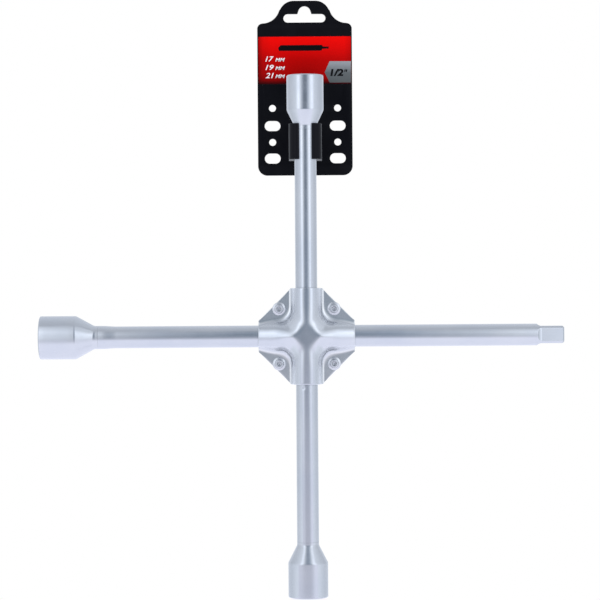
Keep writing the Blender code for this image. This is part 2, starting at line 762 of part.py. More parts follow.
def add_jaw(card, label, side):
    jaw = prism(f"jaw_shape_{label}", [jaw_outline(side)], JAW_TOP - JAW_BOTTOM)
    # the outline's forward direction becomes -Y
    jaw.data.transform(Matrix.Diagonal((1, -1, 1, 1)))
    jaw.data.flip_normals()
    place(jaw, (0, UPRIGHT_Y, HANGER_Z))
    cut(card, jaw, "UNION")


def build_card():
    outlines = [card_outline(), window()] + card_holes()
    middle_y = CARD_FRONT + CARD_T / 2
    card = upright_sheet("hanger_card", outlines, CARD_T, middle_y, BLACK_PLASTIC)
    add_jaw(card, "right", 1)
    add_jaw(card, "left", -1)
    # the top of the seat is relieved to sit round the foot of the socket's cone
    relief = turned("cone_relief_cutter", CONE_RELIEF_PROFILE, 40)
    place(relief, (0, UPRIGHT_Y, 0))
    cut(card, relief)
    smooth(card, 40)


def build_label():
    low, high = LABEL_BOTTOM + LABEL_CORNER_R, LABEL_TOP - LABEL_CORNER_R
    outline = []
    for side, z, start in ((1, low, -90), (1, high, 0), (-1, high, 90), (-1, low, 180)):
        x = side * (LABEL_HALF - LABEL_CORNER_R)
        outline += arc(x, z, LABEL_CORNER_R, start, start + 90, 3)
    middle_y = CARD_FRONT - SEAT_GAP - LABEL_T / 2
    upright_sheet("hanger_label", [outline], LABEL_T, middle_y, LABEL_RED)


build_card()
build_label()

bpy.context.view_layer.update()
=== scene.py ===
"""Looks for the four-way lug wrench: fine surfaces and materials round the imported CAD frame.

The upright bar runs along Z, with the 17 mm socket at its top and the 19 mm at its foot. The cross bar
runs along X behind it, with the 21 mm socket at the left (-X) and the square drive at the right (+X).
The front faces -Y. Every fine piece stands where its CAD node stands. Lengths are in millimetres and
scaled to metres by MM, apart from the stage, which is in metres.
"""

import math

import bmesh
import bpy
from mathutils import Matrix, Vector


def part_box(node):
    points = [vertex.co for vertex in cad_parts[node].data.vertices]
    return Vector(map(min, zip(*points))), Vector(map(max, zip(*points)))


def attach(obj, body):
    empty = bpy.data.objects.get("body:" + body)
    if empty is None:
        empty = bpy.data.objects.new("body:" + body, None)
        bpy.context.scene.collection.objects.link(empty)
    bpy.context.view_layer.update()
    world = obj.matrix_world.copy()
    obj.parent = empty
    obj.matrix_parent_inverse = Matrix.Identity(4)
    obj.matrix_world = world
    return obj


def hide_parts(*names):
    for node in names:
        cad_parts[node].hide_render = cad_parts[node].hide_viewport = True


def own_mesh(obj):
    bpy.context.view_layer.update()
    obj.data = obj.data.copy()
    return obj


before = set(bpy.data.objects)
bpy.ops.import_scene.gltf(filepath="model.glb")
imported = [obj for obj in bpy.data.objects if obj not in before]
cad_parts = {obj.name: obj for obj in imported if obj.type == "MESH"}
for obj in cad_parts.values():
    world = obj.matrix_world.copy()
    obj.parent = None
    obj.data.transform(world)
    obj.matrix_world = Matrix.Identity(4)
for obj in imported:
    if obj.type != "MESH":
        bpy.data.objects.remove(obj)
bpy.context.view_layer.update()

MM = 0.001
QUARTER = math.pi / 2


# ---- places, from the CAD ----------------------------------------------------------------------
def middle(node):
    low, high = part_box(node)
    return (low + high) / 2 / MM


def low_of(node):
    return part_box(node)[0] / MM


def high_of(node):
    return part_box(node)[1] / MM


def half_width(node):
    return (high_of(node).x - low_of(node).x) / 2


UPRIGHT_Y = middle("upright_bar").y  # depth of the upright bar's axis
CROSS_Y = middle("cross_bar").y  # and of the cross bar's
HUB_Y = (UPRIGHT_Y + CROSS_Y) / 2
BAR_OFFSET = (CROSS_Y - UPRIGHT_Y) / 2
BAR_R = half_width("upright_bar")
BAR_TOP = high_of("upright_bar").z
BAR_BOTTOM = low_of("upright_bar").z
BAR_LEFT = low_of("cross_bar").x
DRIVE_TIP = high_of("cross_bar").x
LABEL_LOW, LABEL_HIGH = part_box("hanger_label")  # in metres


# ---- materials ---------------------------------------------------------------------------------
class Nodes:
    """Short-hand for building a node tree."""

    def __init__(self, tree):
        self.tree = tree

    def new(self, kind):
        return self.tree.nodes.new(kind)

    def put(self, socket, value):
        if isinstance(value, bpy.types.NodeSocket):
            self.tree.links.new(value, socket)
        else:
            socket.default_value = value

    def part(self, axis, source):
        node = self.new("ShaderNodeSeparateXYZ")
        self.put(node.inputs[0], source)
        return node.outputs[axis]

    def ranged(self, value, span=(0.3, 0.7), to=(0.0, 1.0)):
        """The span mapped to another. The first span is the usual reach of a noise."""
        node = self.new("ShaderNodeMapRange")
        self.put(node.inputs["Value"], value)
        labels = ("From Min", "From Max", "To Min", "To Max")
        for label, number in zip(labels, (*span, *to)):
            node.inputs[label].default_value = number
        return node.outputs["Result"]

    def ramp(self, value, stops, smooth=False):
        """Colours, or levels of grey, at their places from 0 to 1."""
        node = self.new("ShaderNodeValToRGB")
        self.put(node.inputs["Fac"], value)
        if smooth:
            node.color_ramp.interpolation = "EASE"
        elements = node.color_ramp.elements
        while len(elements) < len(stops):
            elements.new(0.5)
        for element, (place, colour) in zip(elements, stops):
            element.position = place
            if isinstance(colour, (int, float)):
                colour = (colour, colour, colour)
            element.color = (*colour, 1.0)
        return node.outputs["Color"]

    def fade(self, value, span, to=(0.0, 1.0), smooth=False):
        """A ramp between two levels of grey."""
        return self.ramp(value, list(zip(span, to)), smooth)

    def mix_shaders(self, share, first, second):
        node = self.new("ShaderNodeMixShader")
        for socket, value in zip(node.inputs, (share, first, second)):
            self.put(socket, value)
        return node.outputs[0]


class Paint(Nodes):
    """A new material and its nodes."""

    def __init__(self, name):
        self.material = bpy.data.materials.new(name)
        self.material.use_nodes = True
        super().__init__(self.material.node_tree)
        self.shader = self.tree.nodes["Principled BSDF"]
        self.position = self.new("ShaderNodeTexCoord").outputs["Object"]

    def place(self, axis):
        return self.part(axis, self.position)

    def noise(self, scale, stretch=(1, 1, 1), detail=4.0, rough=0.55):
        node = self.new("ShaderNodeTexNoise")
        mapping = self.new("ShaderNodeMapping")
        self.put(mapping.inputs["Vector"], self.position)
        mapping.inputs["Scale"].default_value = stretch
        self.put(node.inputs["Vector"], mapping.outputs["Vector"])
        node.inputs["Scale"].default_value = scale
        node.inputs["Detail"].default_value = detail
        node.inputs["Roughness"].default_value = rough
        return node.outputs["Fac"]

    def math(self, operation, first, second, clamp=False):
        node = self.new("ShaderNodeMath")
        node.operation = operation
        node.use_clamp = clamp
        self.put(node.inputs[0], first)
        self.put(node.inputs[1], second)
        return node.outputs[0]

    def add(self, first, second):
        return self.math("ADD", first, second)

    def times(self, value, factor):
        return self.math("MULTIPLY", value, factor)

    def mix(self, share, under, over, blend="MIX"):
        node = self.new("ShaderNodeMix")
        node.data_type = "RGBA"
        node.blend_type = blend
        self.put(node.inputs[0], share)
        for socket, value in ((node.inputs[6], under), (node.inputs[7], over)):
            self.put(socket, value if isinstance(value, bpy.types.NodeSocket) else (*value, 1.0))
        return node.outputs[2]

    def multiplied(self, first, second):
        return self.mix(1.0, first, second, "MULTIPLY")

    def bump(self, height, strength, distance, normal=None):
        node = self.new("ShaderNodeBump")
        self.put(node.inputs["Height"], height)
        node.inputs["Strength"].default_value = strength
        node.inputs["Distance"].default_value = distance
        if normal is not None:
            self.put(node.inputs["Normal"], normal)
        return node.outputs["Normal"]

    def edges(self, span=(0.505, 0.56)):
        """1 on worn outside edges."""
        return self.fade(self.new("ShaderNodeNewGeometry").outputs["Pointiness"], span)

    def painted_crevice_shade(self, reach):
        """1 deep in the crevices, where the colour is darkened as painted shade."""
        node = self.new("ShaderNodeAmbientOcclusion")
        node.samples = 6
        node.inputs["Distance"].default_value = reach
        return self.fade(node.outputs["AO"], span=(0.25, 0.8), to=(1.0, 0.0))

    def set(self, **values):
        for name, value in values.items():
            self.put(self.shader.inputs[name.replace("_", " ")], value)


CHROME_TINT = (0.605, 0.622, 0.648)
# how the steel under the chrome was made, and its look: scale and stretch of its grain, scale and
# stretch of its lines, strength of the painted shade in its crevices, bump of the grain and bump of the
# lines
STEEL = {
    "drawn": (2600.0, (1, 1, 0.012), 700.0, (1, 1, 0.02), 0.55, 0.05, 0.06),
    "turned": (1900.0, (0.03, 0.03, 1), 520.0, (0.06, 0.06, 1), 0.55, 0.05, 0.06),
    "pressed": (1500.0, (1, 1, 1), 260.0, (1, 1, 1), 0.12, 0.035, 0.03),
}


def chrome_shade(factor):
    return tuple(channel * factor for channel in CHROME_TINT)


def satin_chrome(name, roughness, kind):
    grain_scale, grain_stretch, line_scale, line_stretch, crevice_shade_level, grain_bump, line_bump = STEEL[kind]
    paint = Paint(name)
    cloud = paint.noise(scale=38.0, stretch=(1, 1, 0.6), detail=3.0)
    smudge = paint.noise(scale=120.0, detail=5.0, rough=0.62)
    dark = tuple(c * f for c, f in zip(CHROME_TINT, (0.90, 0.92, 0.95)))
    base = paint.mix(paint.fade(cloud, span=(0.32, 0.68)), dark, CHROME_TINT)
    grain = paint.noise(grain_scale, grain_stretch, detail=3.0, rough=0.6)
    lines = paint.noise(line_scale, line_stretch, detail=2.0, rough=0.5)
    peel = paint.noise(scale=160.0, detail=2.0, rough=0.5)
    furrows = paint.fade(grain, span=(0.35, 0.62), to=(0.06, 0.0))
    base = paint.mix(furrows, base, chrome_shade(0.8))
    specks = paint.noise(scale=900.0, detail=2.0, rough=0.5)
    specks = paint.fade(specks, span=(0.70, 0.76), to=(0.0, 0.35))
    base = paint.mix(specks, base, chrome_shade(0.72))
    # painted shade: the colour darkens deep in the crevices, where shade falls
    crevice_shade = paint.times(paint.painted_crevice_shade(reach=0.0018), factor=crevice_shade_level)
    base = paint.mix(crevice_shade, base, over=(0.10, 0.115, 0.14))
    worn = paint.edges()
    base = paint.mix(paint.times(worn, factor=0.35), base, chrome_shade(1.08))
    rough = paint.ranged(smudge, to=(roughness - 0.035, roughness + 0.045))
    if kind == "pressed":
        # the walls dragged over the die are duller (rougher); their colour is also painted paler,
        # painted light that lifts the dark reflections in them, and the flat ears' colour is painted
        # paler too
        facing = paint.new("ShaderNodeTexCoord").outputs["Normal"]
        facing_y = paint.math("ABSOLUTE", paint.part("Y", facing), 0.0)
        steep_rough_and_painted_pale = paint.ranged(facing_y, span=(0.74, 0.40))
        rough = paint.add(rough, paint.times(steep_rough_and_painted_pale, factor=0.38))
        base = paint.mix(paint.times(steep_rough_and_painted_pale, factor=0.9), base, chrome_shade(1.32))
        # painted light: the flat ears' colour is made paler, a painted brighter reflection
        ear = paint.ranged(paint.place("Y"), span=(-0.0030, -0.0024))
        base = paint.mix(paint.times(ear, factor=0.8), base, over=(0.700, 0.705, 0.700))
    rough = paint.add(rough, paint.ranged(grain, to=(-0.02, 0.02)))
    rough = paint.math("SUBTRACT", rough, paint.times(worn, factor=0.06), clamp=True)
    normal = paint.bump(grain, strength=grain_bump, distance=0.00004)
    normal = paint.bump(lines, strength=line_bump, distance=0.00006, normal=normal)
    normal = paint.bump(peel, strength=0.10, distance=0.00010, normal=normal)
    paint.set(Base_Color=base, Metallic=1.0, Roughness=rough, Normal=normal)
    return paint.material


def rivet_steel():
    paint = Paint("rivet_plated_steel")
    rings = paint.noise(scale=2400.0, stretch=(0.05, 0.05, 1), detail=3.0, rough=0.6)
    marks = paint.noise(scale=420.0, detail=5.0, rough=0.65)
    marked = paint.fade(marks, span=(0.35, 0.7))
    base = paint.mix(marked, under=(0.64, 0.652, 0.672), over=(0.55, 0.565, 0.592))
    # painted shade: the colour darkens deep in the crevices, where shade falls
    crevice_shade = paint.times(paint.painted_crevice_shade(reach=0.0012), factor=0.6)
    base = paint.mix(crevice_shade, base, over=(0.12, 0.13, 0.155))
    worn = paint.edges(span=(0.51, 0.6))
    base = paint.mix(paint.times(worn, factor=0.5), base, over=(0.72, 0.728, 0.74))
    rough = paint.ranged(marks, to=(0.24, 0.36))
    rough = paint.math("SUBTRACT", rough, paint.times(worn, factor=0.1))
    normal = paint.bump(rings, strength=0.08, distance=0.00004)
    normal = paint.bump(marks, strength=0.18, distance=0.00012, normal=normal)
    paint.set(Base_Color=base, Metallic=1.0, Roughness=rough, Normal=normal)
    return paint.material


def spring_steel():
    paint = Paint("oiled_spring_steel")
    draw = paint.noise(scale=1800.0, rough=0.6)
    film = paint.noise(scale=300.0, detail=3.0, rough=0.5)
    oiled = paint.fade(film, span=(0.35, 0.65))
    base = paint.mix(oiled, under=(0.38, 0.38, 0.40), over=(0.52, 0.51, 0.50))
    base = paint.mix(paint.times(paint.edges(), factor=0.4), base, over=(0.7, 0.7, 0.72))
    paint.set(
        Base_Color=base,
        Metallic=1.0,
        Roughness=paint.ranged(draw, to=(0.2, 0.34)),
        Normal=paint.bump(draw, strength=0.1, distance=0.00003),
    )
    return paint.material


def black_plastic():
    paint = Paint("moulded_black_plastic")
    grain = paint.noise(scale=5200.0, detail=2.0, rough=0.5)
    flow = paint.noise(scale=55.0, stretch=(1, 1, 0.35), rough=0.6)
    scuff = paint.noise(scale=240.0, stretch=(1, 0.2, 0.12), rough=0.7)
    scuff = paint.fade(scuff, span=(0.62, 0.74))
    flowed = paint.fade(flow, span=(0.3, 0.7))
    base = paint.mix(flowed, under=(0.0012, 0.0012, 0.0022), over=(0.0024, 0.0024, 0.0038))
    worn = paint.edges(span=(0.51, 0.58))
    base = paint.mix(paint.times(worn, factor=0.5), base, over=(0.010, 0.0105, 0.014))
    base = paint.mix(paint.times(scuff, factor=0.25), base, over=(0.008, 0.008, 0.011))
    rough = paint.ranged(flow, to=(0.30, 0.42))
    rough = paint.add(rough, paint.times(scuff, factor=0.12))
    normal = paint.bump(grain, strength=0.10, distance=0.00003)
    normal = paint.bump(flow, strength=0.05, distance=0.0002, normal=normal)
    paint.set(Base_Color=base, Roughness=rough, Specular_IOR_Level=0.10, Normal=normal)
    return paint.material


# (share of the label's height, colour)
RED_STOPS = [
    (0.0, (0.008, 0.001, 0.002)),
    (0.05, (0.10, 0.0008, 0.001)),
    (0.12, (0.26, 0.0008, 0.0008)),
    (0.22, (0.34, 0.001, 0.0008)),
    (0.5, (0.43, 0.001, 0.0008)),
    (0.78, (0.66, 0.0015, 0.001)),
    (1.0, (0.80, 0.002, 0.001)),
]
# (share of the label's width, brightness)
RED_SIDES = [(0.0, 0.45), (0.05, 0.85), (0.14, 1.0), (0.93, 1.0), (1.0, 0.75)]


def red_film():
    """The label's own colours: red, falling to a dark red, then to black, darker at both sides."""
    paint = Paint("printed_red_film")
    height = paint.ranged(paint.place("Z"), span=(LABEL_LOW.z, LABEL_HIGH.z))
    across = paint.ranged(paint.place("X"), span=(LABEL_LOW.x, LABEL_HIGH.x))
    streak = paint.noise(scale=60.0, stretch=(1, 1, 0.5), rough=0.6)
    height = paint.add(height, paint.ranged(streak, to=(-0.012, 0.012)))
    colour = paint.ramp(height, RED_STOPS)
    colour = paint.multiplied(colour, paint.ramp(across, RED_SIDES))
    dots = paint.noise(scale=3400.0, detail=1.0, rough=0.4)
    dotted = paint.fade(dots, span=(0.5, 0.75), to=(0.0, 0.10))
    paint.set(
        Base_Color=paint.mix(dotted, colour, over=(0.02, 0.0, 0.0)),
        Roughness=paint.ranged(streak, to=(0.34, 0.46)),
        Specular_IOR_Level=0.04,
        Normal=paint.bump(dots, strength=0.03, distance=0.00002),
    )
    return paint.material


def ink(name, colour_of, specular=0.25):
    """Printing ink, with the slight unevenness of a screen print."""
    paint = Paint(name)
    cover = paint.noise(scale=700.0, rough=0.6)
    speck = paint.noise(scale=4200.0, detail=1.0, rough=0.4)
    paint.set(
        Base_Color=colour_of(paint, cover),
        Roughness=paint.ranged(speck, to=(0.37, 0.47)),
        Specular_IOR_Level=specular,
        Normal=paint.bump(speck, strength=0.05, distance=0.00002),
    )
    return paint.material


def white_cover(paint, cover):
    share = paint.fade(cover, span=(0.35, 0.65))
    return paint.mix(share, under=(0.86, 0.84, 0.84), over=(0.74, 0.72, 0.72))


def black_cover(paint, cover):
    share = paint.fade(cover, span=(0.35, 0.65))
    return paint.mix(share, under=(0.0012, 0.001, 0.0014), over=(0.0024, 0.002, 0.0026))


# (share of the tab's height, colour)
GREY_STOPS = [
    (0.0, (0.078, 0.086, 0.086)),
    (0.46, (0.098, 0.108, 0.110)),
    (0.70, (0.185, 0.196, 0.202)),
    (0.95, (0.268, 0.280, 0.290)),
]


def grey_cover(paint, cover):
    """The tab's half-tone, light at its head and dark at its foot."""
    tab_span = (LABEL_LOW.z + 0.0010, LABEL_LOW.z + 0.0168)
    height = paint.ranged(paint.place("Z"), span=tab_span)
    height = paint.add(height, paint.ranged(cover, to=(-0.03, 0.03)))
    return paint.ramp(height, GREY_STOPS)


BAR_CHROME = satin_chrome("bar_satin_chrome", roughness=0.20, kind="drawn")
SOCKET_CHROME = satin_chrome("socket_satin_chrome", roughness=0.22, kind="turned")
PLATE_CHROME = satin_chrome("plate_satin_chrome", roughness=0.19, kind="pressed")
RIVET_STEEL = rivet_steel()
SPRING_STEEL = spring_steel()
BLACK_PLASTIC = black_plastic()
RED_FILM = red_film()
WHITE_INK = ink("white_ink", white_cover)
BLACK_INK = ink("black_ink", black_cover, specular=0.08)
GREY_INK = ink("grey_ink", grey_cover)


# ---- mesh tools --------------------------------------------------------------------------------
def link(name, data, matrix=None):
    made = bpy.data.objects.new(name, data)
    bpy.context.scene.collection.objects.link(made)
    if matrix is not None:
        made.matrix_world = matrix
    return made


def finish_piece(obj, material, body, node=None, angle=32):
    """Dress a piece, hang it on the body it rides on, and hide the CAD node it replaces."""
    obj.data.materials.clear()
    obj.data.materials.append(material)
    for face in obj.data.polygons:
        face.material_index = 0
    obj.data.shade_smooth()
    obj.data.set_sharp_from_angle(angle=math.radians(angle))
    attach(obj, body)
    if node:
        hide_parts(node)


def placed(where, about_x=0.0, about_y=0.0):
    rotation = Matrix.Rotation(about_y, 4, "Y") @ Matrix.Rotation(about_x, 4, "X")
    return Matrix.Translation(Vector(where) * MM) @ rotation


def mesh_from(name, work):
    mesh = bpy.data.meshes.new(name)
    work.to_mesh(mesh)
    work.free()
    return mesh


def rows_mesh(name, rows, closed=False):
    """A skin over rings of points in mm. A row of one point is a pole. Closed joins last to first."""
    work = bmesh.new()
    made = [[work.verts.new(Vector(point) * MM) for point in row] for row in rows]
    following = made[1:] + made[:1] if closed else made[1:]
    for row, after in zip(made, following):
        count = max(len(row), len(after))
        for j in range(count):
            k = (j + 1) % count
            if len(row) == 1:
                corners = [row[0], after[j], after[k]]
            elif len(after) == 1:
                corners = [row[j], after[0], row[k]]
            else:
                corners = [row[j], after[j], after[k], row[k]]
            work.faces.new(corners)
    bmesh.ops.recalc_face_normals(work, faces=work.faces)
    return mesh_from(name, work)


def angles_round(count):
    return [2 * math.pi * i / count for i in range(count)]


def ring(radius, height, count):
    if radius < 1e-6:
        return [(0.0, 0.0, height)]
    return [(radius * math.cos(a), radius * math.sin(a), height) for a in angles_round(count)]


def lathe(name, profile, count, closed=False):
    """A profile of (radius, height) turned about Z."""
    return rows_mesh(name, [ring(radius, height, count) for radius, height in profile], closed)


def rounded(points, steps):
    """A profile whose corners (radius, height, rounding) are turned into arcs."""
    result = []
    for i, (radius, height, rounding) in enumerate(points):
        if rounding <= 0 or i in (0, len(points) - 1):
            result.append((radius, height))
            continue
        here = Vector((radius, height))
        before = Vector(points[i - 1][:2]) - here
        after = Vector(points[i + 1][:2]) - here
        turn = math.pi - before.angle(after)
        reach = min(rounding * math.tan(turn / 2), before.length * 0.48, after.length * 0.48)
        start, end = here + before.normalized() * reach, here + after.normalized() * reach
        for k in range(steps + 1):
            share = k / steps
            point = start * (1 - share) ** 2 + here * 2 * share * (1 - share) + end * share**2
            result.append((point.x, point.y))
    return result


def baked(obj):
    """The object's evaluated mesh, cleaned."""
    bpy.context.view_layer.update()
    graph = bpy.context.evaluated_depsgraph_get()
    mesh = bpy.data.meshes.new_from_object(obj.evaluated_get(graph))
    work = bmesh.new()
    work.from_mesh(mesh)
    bmesh.ops.remove_doubles(work, verts=work.verts, dist=1e-6)
    bmesh.ops.dissolve_degenerate(work, edges=work.edges, dist=1e-7)
    bmesh.ops.recalc_face_normals(work, faces=work.faces)
    work.to_mesh(mesh)
    work.free()
    return mesh


def carve(obj, tools, operation="DIFFERENCE"):
    """Cut the tools out of obj, or join them on. The tools go."""
    for tool in tools:
        modifier = obj.modifiers.new("carve", "BOOLEAN")
        modifier.operation = operation
        modifier.object = tool
        modifier.solver = "EXACT"
    mesh = baked(obj)
    obj.modifiers.clear()
    old = obj.data
    obj.data = mesh
    bpy.data.meshes.remove(old)
    for tool in tools:
        bpy.data.objects.remove(tool, do_unlink=True)


def block(low, high):
    work = bmesh.new()
    bmesh.ops.create_cube(work, size=1.0)
    for vert in work.verts:
        vert.co = Vector([(a + (b - a) * (c + 0.5)) * MM for a, b, c in zip(low, high, vert.co)])
    return mesh_from("block", work)


def steps_between(start, end, count):
    return [start + (end - start) * i / count for i in range(count + 1)]


def smooth_step(share):
    share = min(1.0, max(0.0, share))
    return share * share * (3 - 2 * share)


# ---- bars --------------------------------------------------------------------------------------
# Each bar has half its section notched away where the two lap.
LAP_GAP = 0.15
LAP_HALF = BAR_R + LAP_GAP  # half the notch's length along its bar
LAP_DEPTH = BAR_OFFSET - LAP_GAP  # from the bar's axis to the notch's floor
NOTCH_HALF = 10  # the notching block reaches clear of the bar, across it
NOTCH_REACH = 14  # and in depth
END_BREAK = 0.06  # chamfer of the bar ends and socket necks

UPRIGHT_AROUND = 160
MARK_AT = (-2.5, -math.sqrt(BAR_R**2 - 2.5**2), -38.0)  # on the bar's skin
MARK_DEPTH, MARK_SPREAD, MARK_REACH = 0.26, 0.85, 3


def upright_bar():
    # the rings lie closest round the setting mark
    heights = steps_between(BAR_BOTTOM + 0.9, -41, 16) + steps_between(-40.5, -35.5, 20)
    heights += steps_between(-35, -8.4, 4) + steps_between(-8, 8, 4)
    heights += steps_between(8.4, BAR_TOP - 0.9, 22)
    profile = [(0, BAR_BOTTOM), (BAR_R - END_BREAK, BAR_BOTTOM), (BAR_R, BAR_BOTTOM + END_BREAK)]
    profile += [(BAR_R, height) for height in heights]
    profile += [(BAR_R, BAR_TOP - END_BREAK), (BAR_R - END_BREAK, BAR_TOP), (0, BAR_TOP)]
    place = placed((0, UPRIGHT_Y, 0))
    bar = link("upright_bar_fine", lathe("upright_bar_fine", profile, UPRIGHT_AROUND), place)
    # a small setting mark on the front, just below the hub
    mark = Vector(MARK_AT)
    for vert in bar.data.vertices:
        away = (vert.co / MM - mark).length
        if away < MARK_REACH:
            inward = Vector((vert.co.x, vert.co.y, 0)).normalized()
            vert.co -= inward * MARK_DEPTH * MM * math.exp(-((away / MARK_SPREAD) ** 2))
    notch = block((-NOTCH_HALF, LAP_DEPTH, -LAP_HALF), (NOTCH_HALF, NOTCH_REACH, LAP_HALF))
    carve(bar, [link("notch", notch, place)])
    finish_piece(bar, BAR_CHROME, "wrench", "upright_bar")


CROSS_AROUND = 320
DRIVE_HALF = 6.35  # half across the square's flats
DRIVE_FLAT_FROM = 172.8
DRIVE_RUNOUT_FROM = 169.4
DRIVE_CHAMFER = 1.1
DRIVE_CORNER = 0.16  # softness where the flats meet the round
NECK_FLARE = 0.5
FLARE_FROM, FLARE_LENGTH = BAR_LEFT + 13.5, 10.5
# rings of the drive's chamfer, measured from the tip
CHAMFER_RINGS = [-1.2, -1.1, -1.02, -0.9, -0.6, -0.3, -0.12, -0.04, 0.0]

BALL = middle("detent_ball")
BALL_R = half_width("detent_ball")
# the detent's bore, open at the back of the drive: (radius, depth behind the bar's axis)
BORE = [
    (0, 9), (3.2, 9), (3.2, 6.62), (2.38, 6.2), (2.38, 5.95),
    (2.75, 5.6), (2.75, -3.6), (0, -4.8),
]


def soft_min(first, second, softness):
    share = max(0.0, min(1.0, 0.5 + 0.5 * (second - first) / softness))
    return second * (1 - share) + first * share - softness * share * (1 - share)


def drive_ring(height):
    """A ring at the drive: round, then milled square with a hollow run-out, then chamfered."""
    run = DRIVE_FLAT_FROM - DRIVE_RUNOUT_FROM
    hollow_r = (run**2 + (BAR_R - DRIVE_HALF) ** 2) / (2 * (BAR_R - DRIVE_HALF))
    if height >= DRIVE_FLAT_FROM:
        flat = DRIVE_HALF
    else:
        back = min(DRIVE_FLAT_FROM - height, hollow_r * 0.98)
        flat = DRIVE_HALF + hollow_r - math.sqrt(hollow_r**2 - back**2)
    limit = BAR_R
    into = height - (DRIVE_TIP - DRIVE_CHAMFER)
    if into > 0:
        flat, limit = flat - into, limit - into
    points = []
    for angle in angles_round(CROSS_AROUND):
        side = abs(math.cos((angle + math.pi / 4) % QUARTER - math.pi / 4))
        radius = min(limit, soft_min(limit, flat / side, DRIVE_CORNER))
        points.append((radius * math.cos(angle), radius * math.sin(angle), height))
    return points


def flare(height):
    """The bar swells a little towards the 21 mm socket, where it was upset for the weld."""
    return NECK_FLARE * smooth_step((FLARE_FROM - height) / FLARE_LENGTH)


def cross_bar():
    left_r = BAR_R + NECK_FLARE
    left_end = [(0, BAR_LEFT), (left_r - END_BREAK, BAR_LEFT), (left_r, BAR_LEFT + END_BREAK)]
    rows = [ring(radius, height, CROSS_AROUND) for radius, height in left_end]
    heights = steps_between(BAR_LEFT + 1.0, BAR_LEFT + 16, 30)
    heights += steps_between(BAR_LEFT + 22, -8.4, 16) + steps_between(-8, 8, 4)
    rows += [ring(BAR_R + flare(height), height, CROSS_AROUND) for height in heights]
    rows += [ring(BAR_R, height, CROSS_AROUND) for height in steps_between(8.4, 167.5, 18)]
    drive_heights = steps_between(168.2, 173.2, 26) + steps_between(173.8, DRIVE_TIP - 1.35, 12)
    drive_heights += [DRIVE_TIP + back for back in CHAMFER_RINGS]
    rows += [drive_ring(height) for height in drive_heights]
    tip = rows[-1]
    for share in (0.985, 0.95, 0.6, 0.2):
        rows.append([(x * share, y * share, DRIVE_TIP) for x, y, _ in tip])
    rows.append([(0.0, 0.0, DRIVE_TIP)])
    along_x = placed((0, CROSS_Y, 0), about_y=QUARTER)
    bar = link("cross_bar_fine", rows_mesh("cross_bar_fine", rows), along_x)
    bore_place = placed((BALL.x, CROSS_Y, 0), about_x=-QUARTER)
    bore = link("bore", lathe("bore", BORE, 64), bore_place)
    notch_block = block((-LAP_HALF, -NOTCH_REACH, -NOTCH_HALF), (LAP_HALF, -LAP_DEPTH, NOTCH_HALF))
    notch = link("notch", notch_block, placed((0, CROSS_Y, 0)))
    carve(bar, [notch, bore])
    finish_piece(bar, BAR_CHROME, "wrench", "cross_bar")


upright_bar()
cross_bar()

# ---- detent ------------------------------------------------------------------------------------
BALL_STEPS = 40
WIRE_R, COIL_R, TURNS = 0.3, 1.75, 4.5
COIL_STEPS = 270
WIRE_AROUND = 14


def detent_ball():
    profile = [
        (BALL_R * math.sin(math.pi * i / BALL_STEPS), -BALL_R * math.cos(math.pi * i / BALL_STEPS))
        for i in range(BALL_STEPS + 1)
    ]
    profile[0], profile[-1] = (0, -BALL_R), (0, BALL_R)
    mesh = lathe("detent_ball_fine", profile, 64)
    ball = link("detent_ball_fine", mesh, placed(BALL, about_x=QUARTER))
    finish_piece(ball, SPRING_STEEL, "detent", "detent_ball")


def detent_spring():
    """A coil about Y, of even pitch from end to end of its CAD node."""
    low, high = low_of("detent_spring"), high_of("detent_spring")
    first, last = low.y + WIRE_R, high.y - WIRE_R
    rise = (last - first) / (2 * math.pi * TURNS)
    rows = []
    for i in range(COIL_STEPS + 1):
        turn = 2 * math.pi * TURNS * i / COIL_STEPS
        depth = first + (last - first) * i / COIL_STEPS
        core = Vector((COIL_R * math.cos(turn), depth, -COIL_R * math.sin(turn)))
        along = Vector((-COIL_R * math.sin(turn), rise, -COIL_R * math.cos(turn)))
        along.normalize()
        outward = Vector((math.cos(turn), 0, -math.sin(turn)))
        sideways = along.cross(outward).normalized()
        rows.append([
            tuple(core + (outward * math.cos(angle) + sideways * math.sin(angle)) * WIRE_R)
            for angle in angles_round(WIRE_AROUND)
        ])
        if i == 0:
            rows.insert(0, [tuple(core)])
    rows.append([tuple(core)])
    mesh = rows_mesh("detent_spring_fine", rows)
    spring = link("detent_spring_fine", mesh, placed((BALL.x, 0, 0)))
    finish_piece(spring, SPRING_STEEL, "wrench", "detent_spring", angle=60)
    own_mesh(spring)


detent_ball()
detent_spring()

# ---- sockets -----------------------------------------------------------------------------------
# node: (hex across flats, end of the straight part, end of the cone, rounding at the neck,
#        flare of the neck, turn about X, turn about Y, depth of its bar's axis)
SOCKETS = {
    "socket_17mm": (17.2, 165.7, 154.3, 3.0, 0, 0, 0, UPRIGHT_Y),
    "socket_19mm": (19.2, 165.8, 153.0, 5.0, 0, math.pi, 0, UPRIGHT_Y),
    "socket_21mm": (21.25, 169.7, 156.3, 5.0, NECK_FLARE, 0, -QUARTER, CROSS_Y),
}
SOCKET_AROUND = 192
HEX_DEPTH = 21.0
HEX_RINGS = (2.7, 6.0, 10.0, 14.0, 18.0, HEX_DEPTH - 0.25)  # depths below the mouth
SEAM = 0.26  # the dressed butt weld closes all but a hair of the gap between a neck and its bar
LONG_RUN = 4  # straight runs longer than this get a few rings of their own


def socket_ends(node):
    """A socket's outer radius, and how far its mouth and neck lie from the hub."""
    low, high = low_of(node), high_of(node)
    if node == "socket_21mm":
        return (high.z - low.z) / 2, -low.x, -high.x
    mouth, neck = (high.z, low.z) if high.z > 0 else (-low.z, -high.z)
    return (high.x - low.x) / 2, mouth, neck


